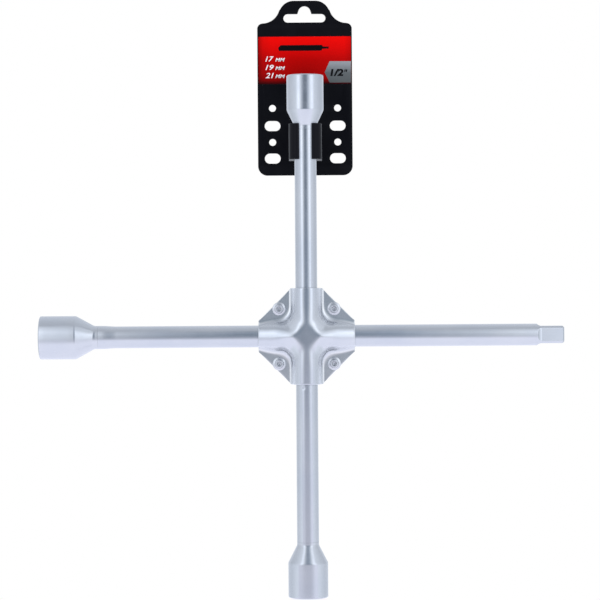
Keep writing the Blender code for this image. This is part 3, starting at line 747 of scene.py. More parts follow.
def socket(node, flats, straight_to, cone_to, neck_rounding, neck_flare, about_x, about_y, depth):
    outer, mouth, neck = socket_ends(node)
    neck -= SEAM
    neck_r = BAR_R + neck_flare
    corner = flats / math.sqrt(3)
    # (radius, height, rounding); the last point only aims the rounding before it
    outside = rounded(
        [
            (0, neck, 0),
            (neck_r - END_BREAK, neck, 0),
            (neck_r, neck + END_BREAK, END_BREAK * 0.5),
            (neck_r, cone_to, neck_rounding),
            (outer, straight_to, 3.0),
            (outer, mouth - 0.6, 0.5),
            (outer - 0.6, mouth, 0.4),
            (corner + 0.62, mouth, 0.12),
            (corner - 0.4, mouth - 1.02, 0),
        ],
        steps=6,
    )[:-1]
    rows = []
    last_r, last_height = outside[0]
    for radius, height in outside:
        if abs(height - last_height) > LONG_RUN:
            for k in range(1, 6):
                between_r = last_r + (radius - last_r) * k / 6
                between_height = last_height + (height - last_height) * k / 6
                rows.append(ring(between_r, between_height, SOCKET_AROUND))
        rows.append(ring(radius, height, SOCKET_AROUND))
        last_r, last_height = radius, height

    def wall_radius(angle):
        side = (angle + math.pi / 6) % (math.pi / 3) - math.pi / 6
        return min(flats / 2 / math.cos(side), corner - 0.16)

    angles = angles_round(SOCKET_AROUND)
    walls = [wall_radius(angle) for angle in angles]

    def wall_ring(outward, levels):
        return [
            ((wall + outward) * math.cos(angle), (wall + outward) * math.sin(angle), level)
            for wall, angle, level in zip(walls, angles, levels)
        ]

    def level_ring(outward, below):
        return wall_ring(outward, [mouth - below] * SOCKET_AROUND)

    # where the conical lead-in meets the broached walls: one scallop to each flat
    meet = [mouth - 0.6 + (wall - corner) for wall in walls]
    for outward, lift in ((0.16, 0.16), (0.05, 0.035), (0.0, -0.09), (0.0, -0.25)):
        rows.append(wall_ring(outward, [level + lift for level in meet]))
    rows += [level_ring(0.0, below) for below in HEX_RINGS]
    rows.append(level_ring(-0.06, HEX_DEPTH - 0.06))
    rows.append(level_ring(-0.25, HEX_DEPTH))
    # the drilled hole below the hexagon: (radius, depth below the hexagon's floor)
    drill = flats / 2 - 0.6
    for radius, below in ((drill + 0.1, 0.0), (drill, 0.1), (drill, 1.5), (drill * 0.5, 3.0)):
        rows.append(ring(radius, mouth - (HEX_DEPTH + below), SOCKET_AROUND))
    rows.append([(0.0, 0.0, mouth - HEX_DEPTH - 4.5)])
    place = placed((0, depth, 0), about_x, about_y)
    made = link(node + "_fine", rows_mesh(node + "_fine", rows), place)
    finish_piece(made, SOCKET_CHROME, "wrench", node, angle=28)


for node, values in SOCKETS.items():
    socket(node, *values)

# ---- hub plates --------------------------------------------------------------------------------
# A pressed cross of two round-topped channels with flat ears between them. One quarter is worked
# out and mirrored. "Near" is the channel along the plate's own Z, "far" the one along its X.
PLATE_HALF = 35.3
PLATE_FLAT = 11.3
PLATE_CORNER = PLATE_HALF + PLATE_FLAT  # x + z along the slanting edge of an ear
PLATE_T = 2.0
PLATE_R = 9.3
PLATE_EAR = 1.15  # height of the ears
PLATE_CREST = HUB_Y - low_of("front_hub_plate").y - PLATE_T / 2
PLATE_CREST_FLAT = 9.2  # the crests are level this far out
NEAR_FALL = PLATE_CREST - (BAR_OFFSET + PLATE_R)
FAR_FALL = PLATE_CREST - (PLATE_R - BAR_OFFSET)
NEAR_FILLET = 4.0
FAR_FILLET = 6.0
CUT_TOP = (6.8, 3.2)  # cut across the corner of two channels at their crests, and its softness
CUT_FOOT = (6.0, 6.0)
PLATE_EDGE = 0.38  # rounding of the blanked edge
HOLE = [(0, -8), (2.65, -8), (2.65, 8), (0, 8)]  # rivet hole cutter: (radius, height)

INNER_STEPS, OUTER_STEPS = 20, 16  # across the corner cut, and out along a channel
ARC_STEPS, FILLET_STEPS, EAR_STEPS = 20, 14, 5
STAR_STEPS = 14  # rings of the diamond between the crests


def level_point(inset, difference, cut):
    """A point of the level line inset mm from both channels' middles, cut across its corner."""
    place, softness = cut
    away = abs(difference)
    over = max(0.0, 1 - abs(away - place) / softness)
    total = 2 * inset + max(away, place) + softness / 4 * over**2
    return (total - difference) / 2, (total + difference) / 2


def near_share(difference, cut):
    """1 beside the near channel and 0 beside the far one. The difference is z - x."""
    return smooth_step((difference / sum(cut) + 1) / 2)


def fallen(distance):
    """How far a crest has fallen at a distance from the hub: 0 at first, 1 at the end."""
    softness = 0.07
    out = max(0.0, (distance - PLATE_CREST_FLAT) / (PLATE_HALF - PLATE_CREST_FLAT))
    return (math.hypot(out, softness) - softness) / (math.hypot(1.0, softness) - softness)


def slant(along, aside):
    """Near the middle the crests fall on a slant, which leaves a level diamond between them."""
    return along + aside * smooth_step((25.0 - along) / 17.0)


def crest_height(x, z, near):
    near_fallen = NEAR_FALL * fallen(slant(z, x)) * near
    return PLATE_CREST - near_fallen - FAR_FALL * fallen(slant(x, z)) * (1 - near)


def section(along, crest, fillet):
    """Inset and height on a channel's side: 0 to 1 goes down its arc, 1 to 2 round the fillet."""
    rise = PLATE_EAR + fillet - (crest - PLATE_R)
    lean = math.acos(rise / (PLATE_R + fillet))
    if along <= 1:
        angle = lean * along
        return PLATE_R * math.sin(angle), crest - PLATE_R * (1 - math.cos(angle))
    foot, tilt = (PLATE_R + fillet) * math.sin(lean), lean * (2 - along)
    return foot - fillet * math.sin(tilt), PLATE_EAR + fillet * (1 - math.cos(tilt))


def channel_point(along, difference, cut):
    near = near_share(difference, cut)
    fillet = NEAR_FILLET * near + FAR_FILLET * (1 - near)
    inset, height = section(along, PLATE_CREST, fillet)
    # inset and crest height depend on each other, and settle in a few rounds
    for _ in range(4):
        x, z = level_point(inset, difference, cut)
        inset, height = section(along, crest_height(x, z, near), fillet)
    return (*level_point(inset, difference, cut), height)


def half_row(along, side, cut):
    """A level row from next to the corner's middle out to the plate's edge, towards one side."""
    reach = sum(cut)
    half = [
        channel_point(along, side * (i / INNER_STEPS) * reach, cut)
        for i in range(1, INNER_STEPS + 1)
    ]
    last = reach
    for i in range(1, OUTER_STEPS + 1):
        share = i / OUTER_STEPS
        for _ in range(6):
            x, z, _height = channel_point(along, side * last, cut)
            inset = min(x, z)
            edge = min(PLATE_HALF, PLATE_CORNER - inset)
            last = reach + (edge - inset - reach) * share
        half.append(channel_point(along, side * last, cut))
    return half


def plate_rows():
    """A quarter's rows of (x, z, height), from the crests down to the ear's slanting edge."""
    places = [i / ARC_STEPS for i in range(ARC_STEPS + 1)]
    places += [1 + i / FILLET_STEPS for i in range(1, FILLET_STEPS + 1)]
    rows = []
    for along in places:
        share = along / 2
        cut = tuple(top + (foot - top) * share for top, foot in zip(CUT_TOP, CUT_FOOT))
        corner = [channel_point(along, 0.0, cut)]
        rows.append(half_row(along, -1, cut)[::-1] + corner + half_row(along, 1, cut))
    foot = rows[-1]
    width = foot[-1][1] - foot[-1][0]
    edge = []
    for x, z, _ in foot:
        share = (z - x) / width
        x_out, z_out = (PLATE_CORNER - width * share) / 2, (PLATE_CORNER + width * share) / 2
        edge.append((x_out, z_out, PLATE_EAR))
    for step in range(1, EAR_STEPS + 1):
        share = step / EAR_STEPS
        rows.append([
            tuple(a + (b - a) * share for a, b in zip(start, end))
            for start, end in zip(foot, edge)
        ])
    return rows


def star_rows(crest_row):
    """Rings of the diamond, from the hub's middle out to the first row of the channels."""
    star = crest_row[OUTER_STEPS : OUTER_STEPS + 2 * INNER_STEPS + 1]
    rings = []
    for step in range(STAR_STEPS):
        share = step / STAR_STEPS
        line = []
        for x, z, _ in star:
            near = near_share(z - x, CUT_TOP)
            line.append((x * share, z * share, crest_height(x * share, z * share, near)))
        rings.append(line)
    rings.append(star)
    return rings


def plate_middle():
    """The sheet's middle surface as a bmesh in mm: x, -height, z."""
    rows = plate_rows()
    rings = star_rows(rows[0])
    work = bmesh.new()
    for side_x in (1, -1):
        for side_z in (1, -1):
            for band in (rows, rings):
                grid = [
                    [work.verts.new((side_x * x, -height, side_z * z)) for x, z, height in row]
                    for row in band
                ]
                for row, after in zip(grid, grid[1:]):
                    for j in range(len(row) - 1):
                        face = [row[j], row[j + 1], after[j + 1], after[j]]
                        work.faces.new(face if side_x * side_z > 0 else face[::-1])
    bmesh.ops.remove_doubles(work, verts=work.verts, dist=0.002)
    bmesh.ops.dissolve_degenerate(work, edges=work.edges, dist=0.001)
    bmesh.ops.recalc_face_normals(work, faces=work.faces)
    work.normal_update()
    if sum(face.normal.y for face in work.faces) > 0:
        bmesh.ops.reverse_faces(work, faces=work.faces)
    work.normal_update()
    return work


def open_edge(work):
    """For each vertex of the boundary, the next one round it."""
    following = {}
    for edge in work.edges:
        if len(edge.link_faces) == 1:
            for loop in edge.link_faces[0].loops:
                if loop.edge is edge:
                    following[loop.vert.index] = loop.link_loop_next.vert.index
    return following


def thick_plate(name):
    """The middle surface given its thickness, with a rounded blanked edge."""
    work = plate_middle()
    work.verts.index_update()
    work.verts.ensure_lookup_table()
    points = [vert.co.copy() for vert in work.verts]
    normals = [vert.normal.copy() for vert in work.verts]
    faces = [[vert.index for vert in face.verts] for face in work.faces]
    following = open_edge(work)
    before = {after: here for here, after in following.items()}
    outward, easing = {}, {}
    for i in following:
        ahead = (points[following[i]] - points[i]).normalized()
        tangent = ahead + (points[i] - points[before[i]]).normalized()
        outward[i] = tangent.normalized().cross(normals[i]).normalized()
        inner = [e.calc_length() for e in work.verts[i].link_edges if len(e.link_faces) > 1]
        easing[i] = min([PLATE_EDGE] + [0.45 * length for length in inner])
    work.free()
    half = PLATE_T / 2
    made = bmesh.new()

    def layer(sign):
        result = []
        for i, point in enumerate(points):
            moved = point + normals[i] * half * sign
            if i in outward:
                moved = moved - outward[i] * easing[i]
            result.append(made.verts.new(moved * MM))
        return result

    front, back = layer(1), layer(-1)
    for face in faces:
        made.faces.new([front[i] for i in face])
        made.faces.new([back[i] for i in reversed(face)])

    # the rim, ring by ring round the boundary
    start = next(iter(following))
    order = [start]
    while following[order[-1]] != start:
        order.append(following[order[-1]])

    def rim_point(i, sign, angle):
        level = half - easing[i] * (1 - math.cos(angle))
        inset = easing[i] * (1 - math.sin(angle))
        return made.verts.new((points[i] + normals[i] * (sign * level) - outward[i] * inset) * MM)

    rim = [[front[i] for i in order]]
    for sign, turns in ((1, (30, 60, 90)), (-1, (90, 60, 30))):
        for turn in turns:
            rim.append([rim_point(i, sign, math.radians(turn)) for i in order])
    rim.append([back[i] for i in order])
    for row, after in zip(rim, rim[1:]):
        for j in range(len(order)):
            k = (j + 1) % len(order)
            made.faces.new([row[k], row[j], after[j], after[k]])
    bmesh.ops.remove_doubles(made, verts=made.verts, dist=1e-7)
    bmesh.ops.recalc_face_normals(made, faces=made.faces)
    return mesh_from(name, made)


RIVET_NODE = "rivet_top_right"
RIVET_AT = (high_of(RIVET_NODE).x + low_of(RIVET_NODE).x) / 2  # out from the hub, in x and z


def rivet_place(side_x, side_z):
    """A rivet's own Z points to the front."""
    return placed((side_x * RIVET_AT, HUB_Y, side_z * RIVET_AT), about_x=QUARTER)


def hub_plate(node, turn):
    plate = link(node + "_fine", thick_plate(node + "_fine"), placed((0, HUB_Y, 0)) @ turn)
    holes = [
        link("hole", lathe("hole", HOLE, 48), rivet_place(side_x, side_z))
        for side_x in (-1, 1)
        for side_z in (-1, 1)
    ]
    carve(plate, holes)
    finish_piece(plate, PLATE_CHROME, "wrench", node, angle=40)


hub_plate("front_hub_plate", Matrix.Identity(4))
# turned over, with the near channel along the cross bar
hub_plate("rear_hub_plate", Matrix.Rotation(math.pi, 4, Vector((1, 0, 1))))

# ---- rivets and washers ------------------------------------------------------------------------
# The washer and the clinched end are at the front, the head at the back.
WASHER_R = half_width("rivet_washer_top_right")
EAR_FACE = PLATE_EAR + PLATE_T / 2
WASHER_LOW = EAR_FACE + 0.1
WASHER_HIGH = WASHER_LOW + 0.9
CLINCH = WASHER_HIGH + 0.1
# (radius, height, rounding)
RIVET = [
    (0, CLINCH - 1.6, 0),
    (1.35, CLINCH - 1.2, 0.3),
    (1.35, CLINCH + 0.7, 0.5),
    (1.75, CLINCH + 1.15, 0.5),
    (2.35, CLINCH + 1.27, 0.8),
    (2.95, CLINCH + 0.92, 0.7),
    (3.15, CLINCH + 0.35, 0.5),
    (2.95, CLINCH, 0.12),
    (2.5, CLINCH, 0.1),
    (2.5, -(EAR_FACE + 0.1), 0),
    (4.5, -(EAR_FACE + 0.1), 0.1),
    (4.5, -(EAR_FACE + 0.45), 0.3),
    (3.6, -(EAR_FACE + 1.35), 1.6),
    (2.0, -(EAR_FACE + 1.97), 2.4),
    (0, -(EAR_FACE + 2.15), 0),
]
# the same; its two ends only aim the roundings next to them
WASHER = [
    (2.75, 0, 0),
    (2.75, WASHER_HIGH, 0.15),
    (3.35, WASHER_HIGH, 0.5),
    (WASHER_R - 0.35, WASHER_HIGH - 0.52, 1.4),
    (WASHER_R, WASHER_HIGH - 0.72, 0.12),
    (WASHER_R, WASHER_LOW, 0.06),
    (2.75, WASHER_LOW, 0.05),
    (2.75, 5, 0),
]
RIVET_PROFILE = rounded(RIVET, steps=5)
WASHER_PROFILE = rounded(WASHER, steps=5)[1:-1]


def rivet_piece(node, profile, place, closed):
    made = link(node + "_fine", lathe(node + "_fine", profile, 96, closed), place)
    finish_piece(made, RIVET_STEEL, "wrench", node, angle=40)


for label, side_x, side_z in (
    ("top_left", -1, 1), ("top_right", 1, 1), ("bottom_left", -1, -1), ("bottom_right", 1, -1),
):
    place = rivet_place(side_x, side_z)
    rivet_piece(f"rivet_{label}", RIVET_PROFILE, place, closed=False)
    rivet_piece(f"rivet_washer_{label}", WASHER_PROFILE, place, closed=True)


# ---- flat outlines -----------------------------------------------------------------------------
def arc(x, y, radius, start, end, count):
    """Points of an arc about (x, y), between two angles in degrees."""
    angles = [math.radians(start + (end - start) * i / count) for i in range(count + 1)]
    return [(x + radius * math.cos(a), y + radius * math.sin(a)) for a in angles]


def stadium(x, y, width, height):
    radius = height / 2
    right = arc(x + width / 2 - radius, y, radius, -90, 90, 16)
    return right + arc(x - width / 2 + radius, y, radius, 90, 270, 16)


def winding(outline):
    return sum(a[0] * b[1] - b[0] * a[1] for a, b in zip(outline, outline[1:] + outline[:1]))


def curve_mesh(name, curve):
    raw = link(name, curve)
    mesh = baked(raw)
    bpy.data.objects.remove(raw, do_unlink=True)
    return mesh


def prism(name, outlines, depth, bevel=0.0, rows=3):
    """A flat outline with holes, thickened about Z = 0, with rounded edges."""
    curve = bpy.data.curves.new(name, "CURVE")
    curve.dimensions = "2D"
    curve.fill_mode = "BOTH"
    curve.extrude = (depth / 2 - bevel) * MM
    curve.bevel_depth = bevel * MM
    curve.bevel_resolution = rows
    curve.offset = -bevel * MM
    for index, outline in enumerate(outlines):
        # the outer outline runs clockwise and the holes the other way
        if (winding(outline) > 0) == (index == 0):
            outline = outline[::-1]
        spline = curve.splines.new("POLY")
        spline.points.add(len(outline) - 1)
        for point, (x, y) in zip(spline.points, outline):
            point.co = (x * MM, y * MM, 0.0, 1.0)
        spline.use_cyclic_u = True
    mesh = curve_mesh(name, curve)
    mesh.name = name
    return mesh


def stand_up(mesh, depth):
    """Turn a flat piece upright, facing the front, with its middle at a depth in Y."""
    upright = Matrix.Rotation(QUARTER, 4, "X")
    mesh.transform(Matrix.Translation((0, depth * MM, 0)) @ upright)


def finish_hanger(obj, material, node=None, angle=32):
    """The hanger's pieces are kept out of the chrome's reflections."""
    finish_piece(obj, material, "hanger", node, angle)
    obj.visible_glossy = False


# ---- hanger card -------------------------------------------------------------------------------
CARD_LOW, CARD_HIGH = low_of("hanger_card"), high_of("hanger_card")
CARD_HALF = half_width("hanger_card")
CARD_BOTTOM, CARD_TOP = CARD_LOW.z, CARD_HIGH.z
CARD_T = 2.0
CARD_FRONT = CARD_HIGH.y - CARD_T - UPRIGHT_Y  # behind the upright bar's axis
JAW_TOP, JAW_BOTTOM, JAW_HALF, JAW_LIP, JAW_SEAT_R = 155.7, 129.5, 12.1, 4.45, 8.25
JAW_INSIDE = JAW_SEAT_R + 0.15  # the legs' inner faces, level with the window's sides
JAW_ROOT = -(CARD_FRONT + 0.6)  # the legs end inside the card
WINDOW_INSET = 1.2  # the window is this much shorter than the jaws at either end
HOOK_HALF, HOOK_Z, HOOK_R = 15.55, 235.15, 3.15
HOLE_X, HOLE_R = 24.1, 2.6
SLOT_WIDTH, SLOT_HEIGHT = 11.7, 7.5
# hollow above the jaws, widening upwards: (radius, height)
RELIEF = [(0, 160.5), (11.1, 160.5), (8.6, 154.6), (8.3, 152.5), (8.3, 150), (0, 150)]


def card_outline():
    right = arc(CARD_HALF - 7, CARD_BOTTOM + 7, 7, -90, 0, 18)
    right += arc(CARD_HALF - 4, 227.4, 4, 0, 85, 14)
    right += arc(31.2, 244.5, 13.0, 268, 196, 22)
    right += arc(7.9, CARD_TOP - 11.1, 11.1, 25, 90, 18)
    return right + [(-x, z) for x, z in reversed(right)]


def hook_hole():
    """A long slot with a round crown rising from its middle."""
    slot_top = HOOK_Z + HOOK_R
    right = arc(HOOK_HALF - HOOK_R, HOOK_Z, HOOK_R, -90, 90, 16)
    crown = [(5.2, slot_top)] + arc(0, 239.5, 4.55, 12, 168, 28) + [(-5.2, slot_top)]
    left = arc(-HOOK_HALF + HOOK_R, HOOK_Z, HOOK_R, 90, 270, 16)
    return right + crown + left


def card_holes():
    low, high = JAW_BOTTOM + WINDOW_INSET, JAW_TOP - WINDOW_INSET
    window = [(-JAW_INSIDE, low), (JAW_INSIDE, low), (JAW_INSIDE, high), (-JAW_INSIDE, high)]
    holes = [window, hook_hole()]
    for x in (-HOLE_X, HOLE_X):
        for hole_z, slot_z in ((168.6, 155.5), (143.4, 131.4)):
            holes.append(arc(x, hole_z, HOLE_R, 0, 360, 40)[:-1])
            holes.append(stadium(x, slot_z, SLOT_WIDTH, SLOT_HEIGHT))
    return holes


def jaw_outline(side):
    """One jaw seen along the bar: (x, distance in front of the bar's axis)."""
    lip = math.degrees(math.asin(JAW_LIP / JAW_SEAT_R))
    seat = arc(0, 0, JAW_SEAT_R, 0, 90 - lip, 20)
    tip = [
        (JAW_LIP + 0.1, 7.95), (JAW_LIP + 0.35, 8.5),
        (JAW_LIP + 0.85, 9.05), (JAW_LIP + 1.5, 9.32),
    ]
    outer = [(x, y * 1.08) for x, y in arc(5.0, 1.6, JAW_HALF - 5.0, 80, 5, 18)]
    legs = [(JAW_HALF, 0), (JAW_HALF, JAW_ROOT), (JAW_INSIDE, JAW_ROOT)]
    return [(side * x, y) for x, y in seat + tip + outer + legs]


def jaw(side):
    mesh = prism("jaw", [jaw_outline(side)], JAW_TOP - JAW_BOTTOM, bevel=0.3)
    mesh.transform(Matrix.Diagonal((1, -1, 1, 1)))
    mesh.flip_normals()
    return link("jaw", mesh, placed((0, UPRIGHT_Y, (JAW_TOP + JAW_BOTTOM) / 2)))


def hanger_card():
    mesh = prism("hanger_card_fine", [card_outline()] + card_holes(), CARD_T, bevel=0.28)
    stand_up(mesh, CARD_FRONT + CARD_T / 2)
    card = link("hanger_card_fine", mesh, placed((0, UPRIGHT_Y, 0)))
    carve(card, [jaw(side) for side in (1, -1)], "UNION")
    carve(card, [link("relief", lathe("relief", RELIEF, 96), placed((0, UPRIGHT_Y, 0)))])
    finish_hanger(card, BLACK_PLASTIC, "hanger_card", angle=40)


hanger_card()

# ---- hanger label ------------------------------------------------------------------------------
# The print stands a hair proud of the film.
LABEL_FRONT, LABEL_T = LABEL_LOW.y / MM, (LABEL_HIGH.y - LABEL_LOW.y) / MM
LABEL_HALF = (LABEL_HIGH.x - LABEL_LOW.x) / 2 / MM
LABEL_TOP, LABEL_BOTTOM = LABEL_HIGH.z / MM, LABEL_LOW.z / MM
LABEL_CORNER = 0.8
INK_T = 0.03
INK_GAP = 0.004
OVERPRINT = 0.032  # ink that lies on other ink
# (x, z) of the black bar and the grey tab
BAR_PRINT = [
    (-19.0, 211.0), (12.4, 211.0), (13.2, 212.4), (17.6, 212.5), (18.1, 213.9),
    (13.5, 214.0), (13.0, 215.2), (-17.6, 215.2), (-19.6, 213.2),
]
TAB_RIGHT = LABEL_HALF - 0.12
TAB_PRINT = [(14.7, 194.9), (18.4, 203.1), (TAB_RIGHT, 203.1), (TAB_RIGHT, 187.3), (18.4, 187.3)]


def hanger_label():
    right, top, bottom = LABEL_HALF - LABEL_CORNER, LABEL_TOP - LABEL_CORNER, LABEL_BOTTOM + LABEL_CORNER
    corners = ((right, bottom, -90), (right, top, 0), (-right, top, 90), (-right, bottom, 180))
    outline = []
    for x, z, start in corners:
        outline += arc(x, z, LABEL_CORNER, start, start + 90, 8)
    mesh = prism("hanger_label_fine", [outline], LABEL_T, bevel=0.06, rows=2)
    stand_up(mesh, LABEL_FRONT + LABEL_T / 2)
    label = link("hanger_label_fine", mesh)
    finish_hanger(label, RED_FILM, "hanger_label", angle=40)


def finish_print(name, mesh, material, angle, lift=0.0):
    stand_up(mesh, LABEL_FRONT - INK_T / 2 - INK_GAP - lift)
    finish_hanger(link(name, mesh), material, angle=angle)


def printed(name, outline, material):
    finish_print(name, prism(name, [outline], INK_T), material, angle=32)


def lettered(name, words, corner, size, material, shear, weight, lift=0.0):
    """Plain figures fitted to a size (width, height), with their lower left corner at (x, z)."""
    font = bpy.data.curves.new(name, "FONT")
    font.body = words
    font.size = 0.01
    font.shear = shear
    font.offset = weight * MM
    font.extrude = INK_T / 2 * MM
    font.resolution_u = 6
    mesh = curve_mesh(name, font)
    for axis in (0, 1):
        places = [vert.co[axis] for vert in mesh.vertices]
        low, high = min(places), max(places)
        for vert in mesh.vertices:
            share = (vert.co[axis] - low) / (high - low)
            vert.co[axis] = (corner[axis] + share * size[axis]) * MM
    finish_print(name, mesh, material, angle=30, lift=lift)


hanger_label()
printed("label_bar", BAR_PRINT, BLACK_INK)
printed("label_tab", TAB_PRINT, GREY_INK)
for words, z in (("17", 203.1), ("19", 196.9), ("21", 190.9)):
    lettered(
        f"label_size_{words}", words, corner=(-29.1, z), size=(6.2, 3.9),
        material=WHITE_INK, shear=0.3, weight=0.16,
    )
    lettered(
        f"label_unit_{words}", "MM", corner=(-21.8, z), size=(7.2, 2.7),
        material=WHITE_INK, shear=0.3, weight=0.15,
    )
lettered(
    "label_drive", "1/2", corner=(18.9, 192.1), size=(9.6, 5.3),
    material=BLACK_INK, shear=0.14, weight=0.42, lift=OVERPRINT,
)
lettered(
    "label_inch", '"', corner=(29.3, 195.0), size=(2.2, 2.0),
    material=BLACK_INK, shear=0.12, weight=0.2, lift=OVERPRINT,
)

# ---- light tent, in metres ---------------------------------------------------------------------
hub = Vector((0, HUB_Y * MM, 0))
NEAR_Y = hub.y - 0.4
BACK_Y = hub.y + 0.55
LEFT, RIGHT, LOW, HIGH = -0.62, 0.605, -0.6, 0.9
TENT_SPANS = {"X": (LEFT, RIGHT), "Y": (NEAR_Y, BACK_Y), "Z": (LOW, HIGH)}
TENT_LEVEL = 1.4  # overall level of the tent
SHEET_STRENGTH = 2.2  # emission strength; the sheets' colours are divided by it

COOL = (0.93, 0.985, 1.085)
LAVENDER = (0.955, 0.975, 1.12)
BLUE_EDGE = (0.86, 0.98, 1.16)
BLUE_MIDDLE = (0.83, 0.98, 1.2)


def grey(level, tint=COOL):
    return tuple(TENT_LEVEL * level * channel for channel in tint)


def greys(stops, tint=COOL):
    return [(place, grey(level, tint)) for place, level in stops]


def sheet_colour(colour):
    return tuple(channel / SHEET_STRENGTH for channel in colour)


def graded(paint, axis, stops):
    """A ramp of colours or plain factors along one axis of the tent, with its stops in metres."""
    low, high = TENT_SPANS[axis]
    place = paint.ranged(paint.place(axis), span=(low, high))
    scaled = []
    for at, colour in stops:
        if isinstance(colour, tuple):
            colour = sheet_colour(colour)
        scaled.append(((at - low) / (high - low), colour))
    return paint.ramp(place, scaled)


def lamp_sheet(name, corners, colour_of):
    """A glowing sheet of the light tent. It is seen in the chrome, and not by the camera."""
    mesh = bpy.data.meshes.new(name)
    mesh.from_pydata([Vector(corner) for corner in corners], [], [(0, 1, 2, 3)])
    sheet = link(name, mesh)
    paint = Paint(name)
    glow = paint.new("ShaderNodeEmission")
    paint.put(glow.inputs["Color"], colour_of(paint))
    glow.inputs["Strength"].default_value = SHEET_STRENGTH
    paint.put(paint.tree.nodes["Material Output"].inputs["Surface"], glow.outputs[0])
    mesh.materials.append(paint.material)
    sheet.visible_camera = False
    sheet.visible_shadow = False


# The front sheet. Every table is (place along its axis, level or factor).
# across: bright wings with a dim opening between them
WINGS = greys([
    (-0.62, 0.66), (-0.50, 0.86), (-0.385, 1.10), (-0.31, 1.06), (-0.225, 0.76), (-0.165, 0.49),
])
WINGS += greys([(-0.11, 0.355)], BLUE_EDGE)
WINGS += greys([(-0.06, 0.275), (0.0, 0.26), (0.06, 0.30)], BLUE_MIDDLE)
WINGS += greys([(0.11, 0.42)], BLUE_EDGE)
WINGS += greys([
    (0.165, 0.56), (0.225, 0.82), (0.31, 1.06), (0.385, 1.08), (0.50, 0.88), (0.605, 0.70),
])
WINGS_BY_HEIGHT = [(-0.6, 0.86), (-0.1, 0.90), (0.08, 1.0), (0.2, 1.12), (0.5, 1.0), (0.9, 0.9)]
# the opening darkens upwards
OPENING = [(-0.115, 0.0), (-0.055, 1.0), (0.055, 1.0), (0.115, 0.0)]
OPENING_BY_HEIGHT = [(0.0, 1.1), (0.06, 1.06), (0.12, 0.83), (0.22, 0.54), (0.34, 0.60), (0.6, 1.0)]
OPENING_FROM_BELOW = (1.02, 1.02, 1.02)
# the lower sheet, by height, in its middle and at its sides
LOWER_MIDDLE = greys([
    (-0.6, 0.86), (-0.40, 0.78), (-0.28, 0.60), (-0.23, 0.555),
    (-0.185, 0.50), (-0.12, 0.555), (-0.06, 0.49), (0.0, 0.40),
], LAVENDER)
LOWER_SIDES = greys([
    (-0.6, 0.90), (-0.40, 0.88), (-0.26, 0.81), (-0.12, 0.78), (0.0, 0.76),
], LAVENDER)
LOWER_ASIDE = [(-0.35, 1.0), (-0.12, 0.0), (0.12, 0.0), (0.35, 1.0)]
LOWER_ACROSS = [
    (LEFT, 0.80), (-0.30, 0.83), (-0.20, 0.93), (-0.12, 1.0), (0.25, 1.0), (RIGHT, 0.96),
]
# the lower sheet's share by height, in the middle and beside it
SHARE_MIDDLE = [(-0.6, 1.0), (-0.24, 1.0), (-0.12, 0.86), (-0.05, 0.5), (0.03, 0.0)]
SHARE_ASIDE = [(-0.6, 1.0), (-0.24, 1.0), (-0.145, 0.84), (-0.085, 0.5), (-0.015, 0.0)]
SHARE_BESIDE = [(-0.10, 1.0), (-0.05, 0.0), (0.05, 0.0), (0.10, 1.0)]
# the top of the sheet turns to one even grey
TOP_SHARE = [(0.24, 0.0), (0.5, 0.35), (0.9, 0.85)]


def front_colour(paint):
    across = graded(paint, "X", WINGS)
    across = paint.multiplied(across, graded(paint, "Z", WINGS_BY_HEIGHT))
    opening = graded(paint, "X", OPENING)
    depth = graded(paint, "Z", OPENING_BY_HEIGHT)
    incoming = paint.part("Z", paint.new("ShaderNodeNewGeometry").outputs["Incoming"])
    from_below = paint.ranged(incoming, span=(-0.28, -0.52))
    depth = paint.mix(from_below, depth, OPENING_FROM_BELOW)
    across = paint.multiplied(across, paint.mix(opening, (1, 1, 1), depth))
    lower_middle = graded(paint, "Z", LOWER_MIDDLE)
    lower_sides = graded(paint, "Z", LOWER_SIDES)
    lower = paint.mix(graded(paint, "X", LOWER_ASIDE), lower_middle, lower_sides)
    lower = paint.multiplied(lower, graded(paint, "X", LOWER_ACROSS))
    # seen from high above, the lower sheet is bright right across
    from_above = paint.ranged(incoming, span=(0.26, 0.56))
    lower = paint.mix(from_above, lower, sheet_colour(grey(0.86, LAVENDER)))
    share_middle = graded(paint, "Z", SHARE_MIDDLE)
    share_aside = graded(paint, "Z", SHARE_ASIDE)
    share = paint.mix(graded(paint, "X", SHARE_BESIDE), share_middle, share_aside)
    mixed = paint.mix(share, across, lower)
    return paint.mix(graded(paint, "Z", TOP_SHARE), mixed, sheet_colour(grey(0.5)))


# the side sheets: level by depth, and a factor by height
SIDE_BY_DEPTH = greys([
    (NEAR_Y, 0.72), (-0.23, 0.70), (-0.08, 0.655), (0.06, 0.61), (0.25, 0.58), (BACK_Y, 0.56),
])
SIDE_BY_HEIGHT = [(-0.6, 1.18), (-0.17, 1.1), (0.0, 0.98), (0.2, 1.0), (0.9, 1.0)]


def side_colour(paint):
    depth = graded(paint, "Y", SIDE_BY_DEPTH)
    return paint.multiplied(depth, graded(paint, "Z", SIDE_BY_HEIGHT))


lamp_sheet(
    "tent_front",
    [(LEFT, NEAR_Y, LOW), (RIGHT, NEAR_Y, LOW), (RIGHT, NEAR_Y, HIGH), (LEFT, NEAR_Y, HIGH)],
    front_colour,
)
for name, x in (("tent_side_left", LEFT), ("tent_side_right", RIGHT)):
    corners = [(x, NEAR_Y, LOW), (x, BACK_Y, LOW), (x, BACK_Y, HIGH), (x, NEAR_Y, HIGH)]
    lamp_sheet(name, corners, side_colour)

# ---- floor and world ---------------------------------------------------------------------------
FLOOR_Z = -0.45
FLOOR_R = 1.5


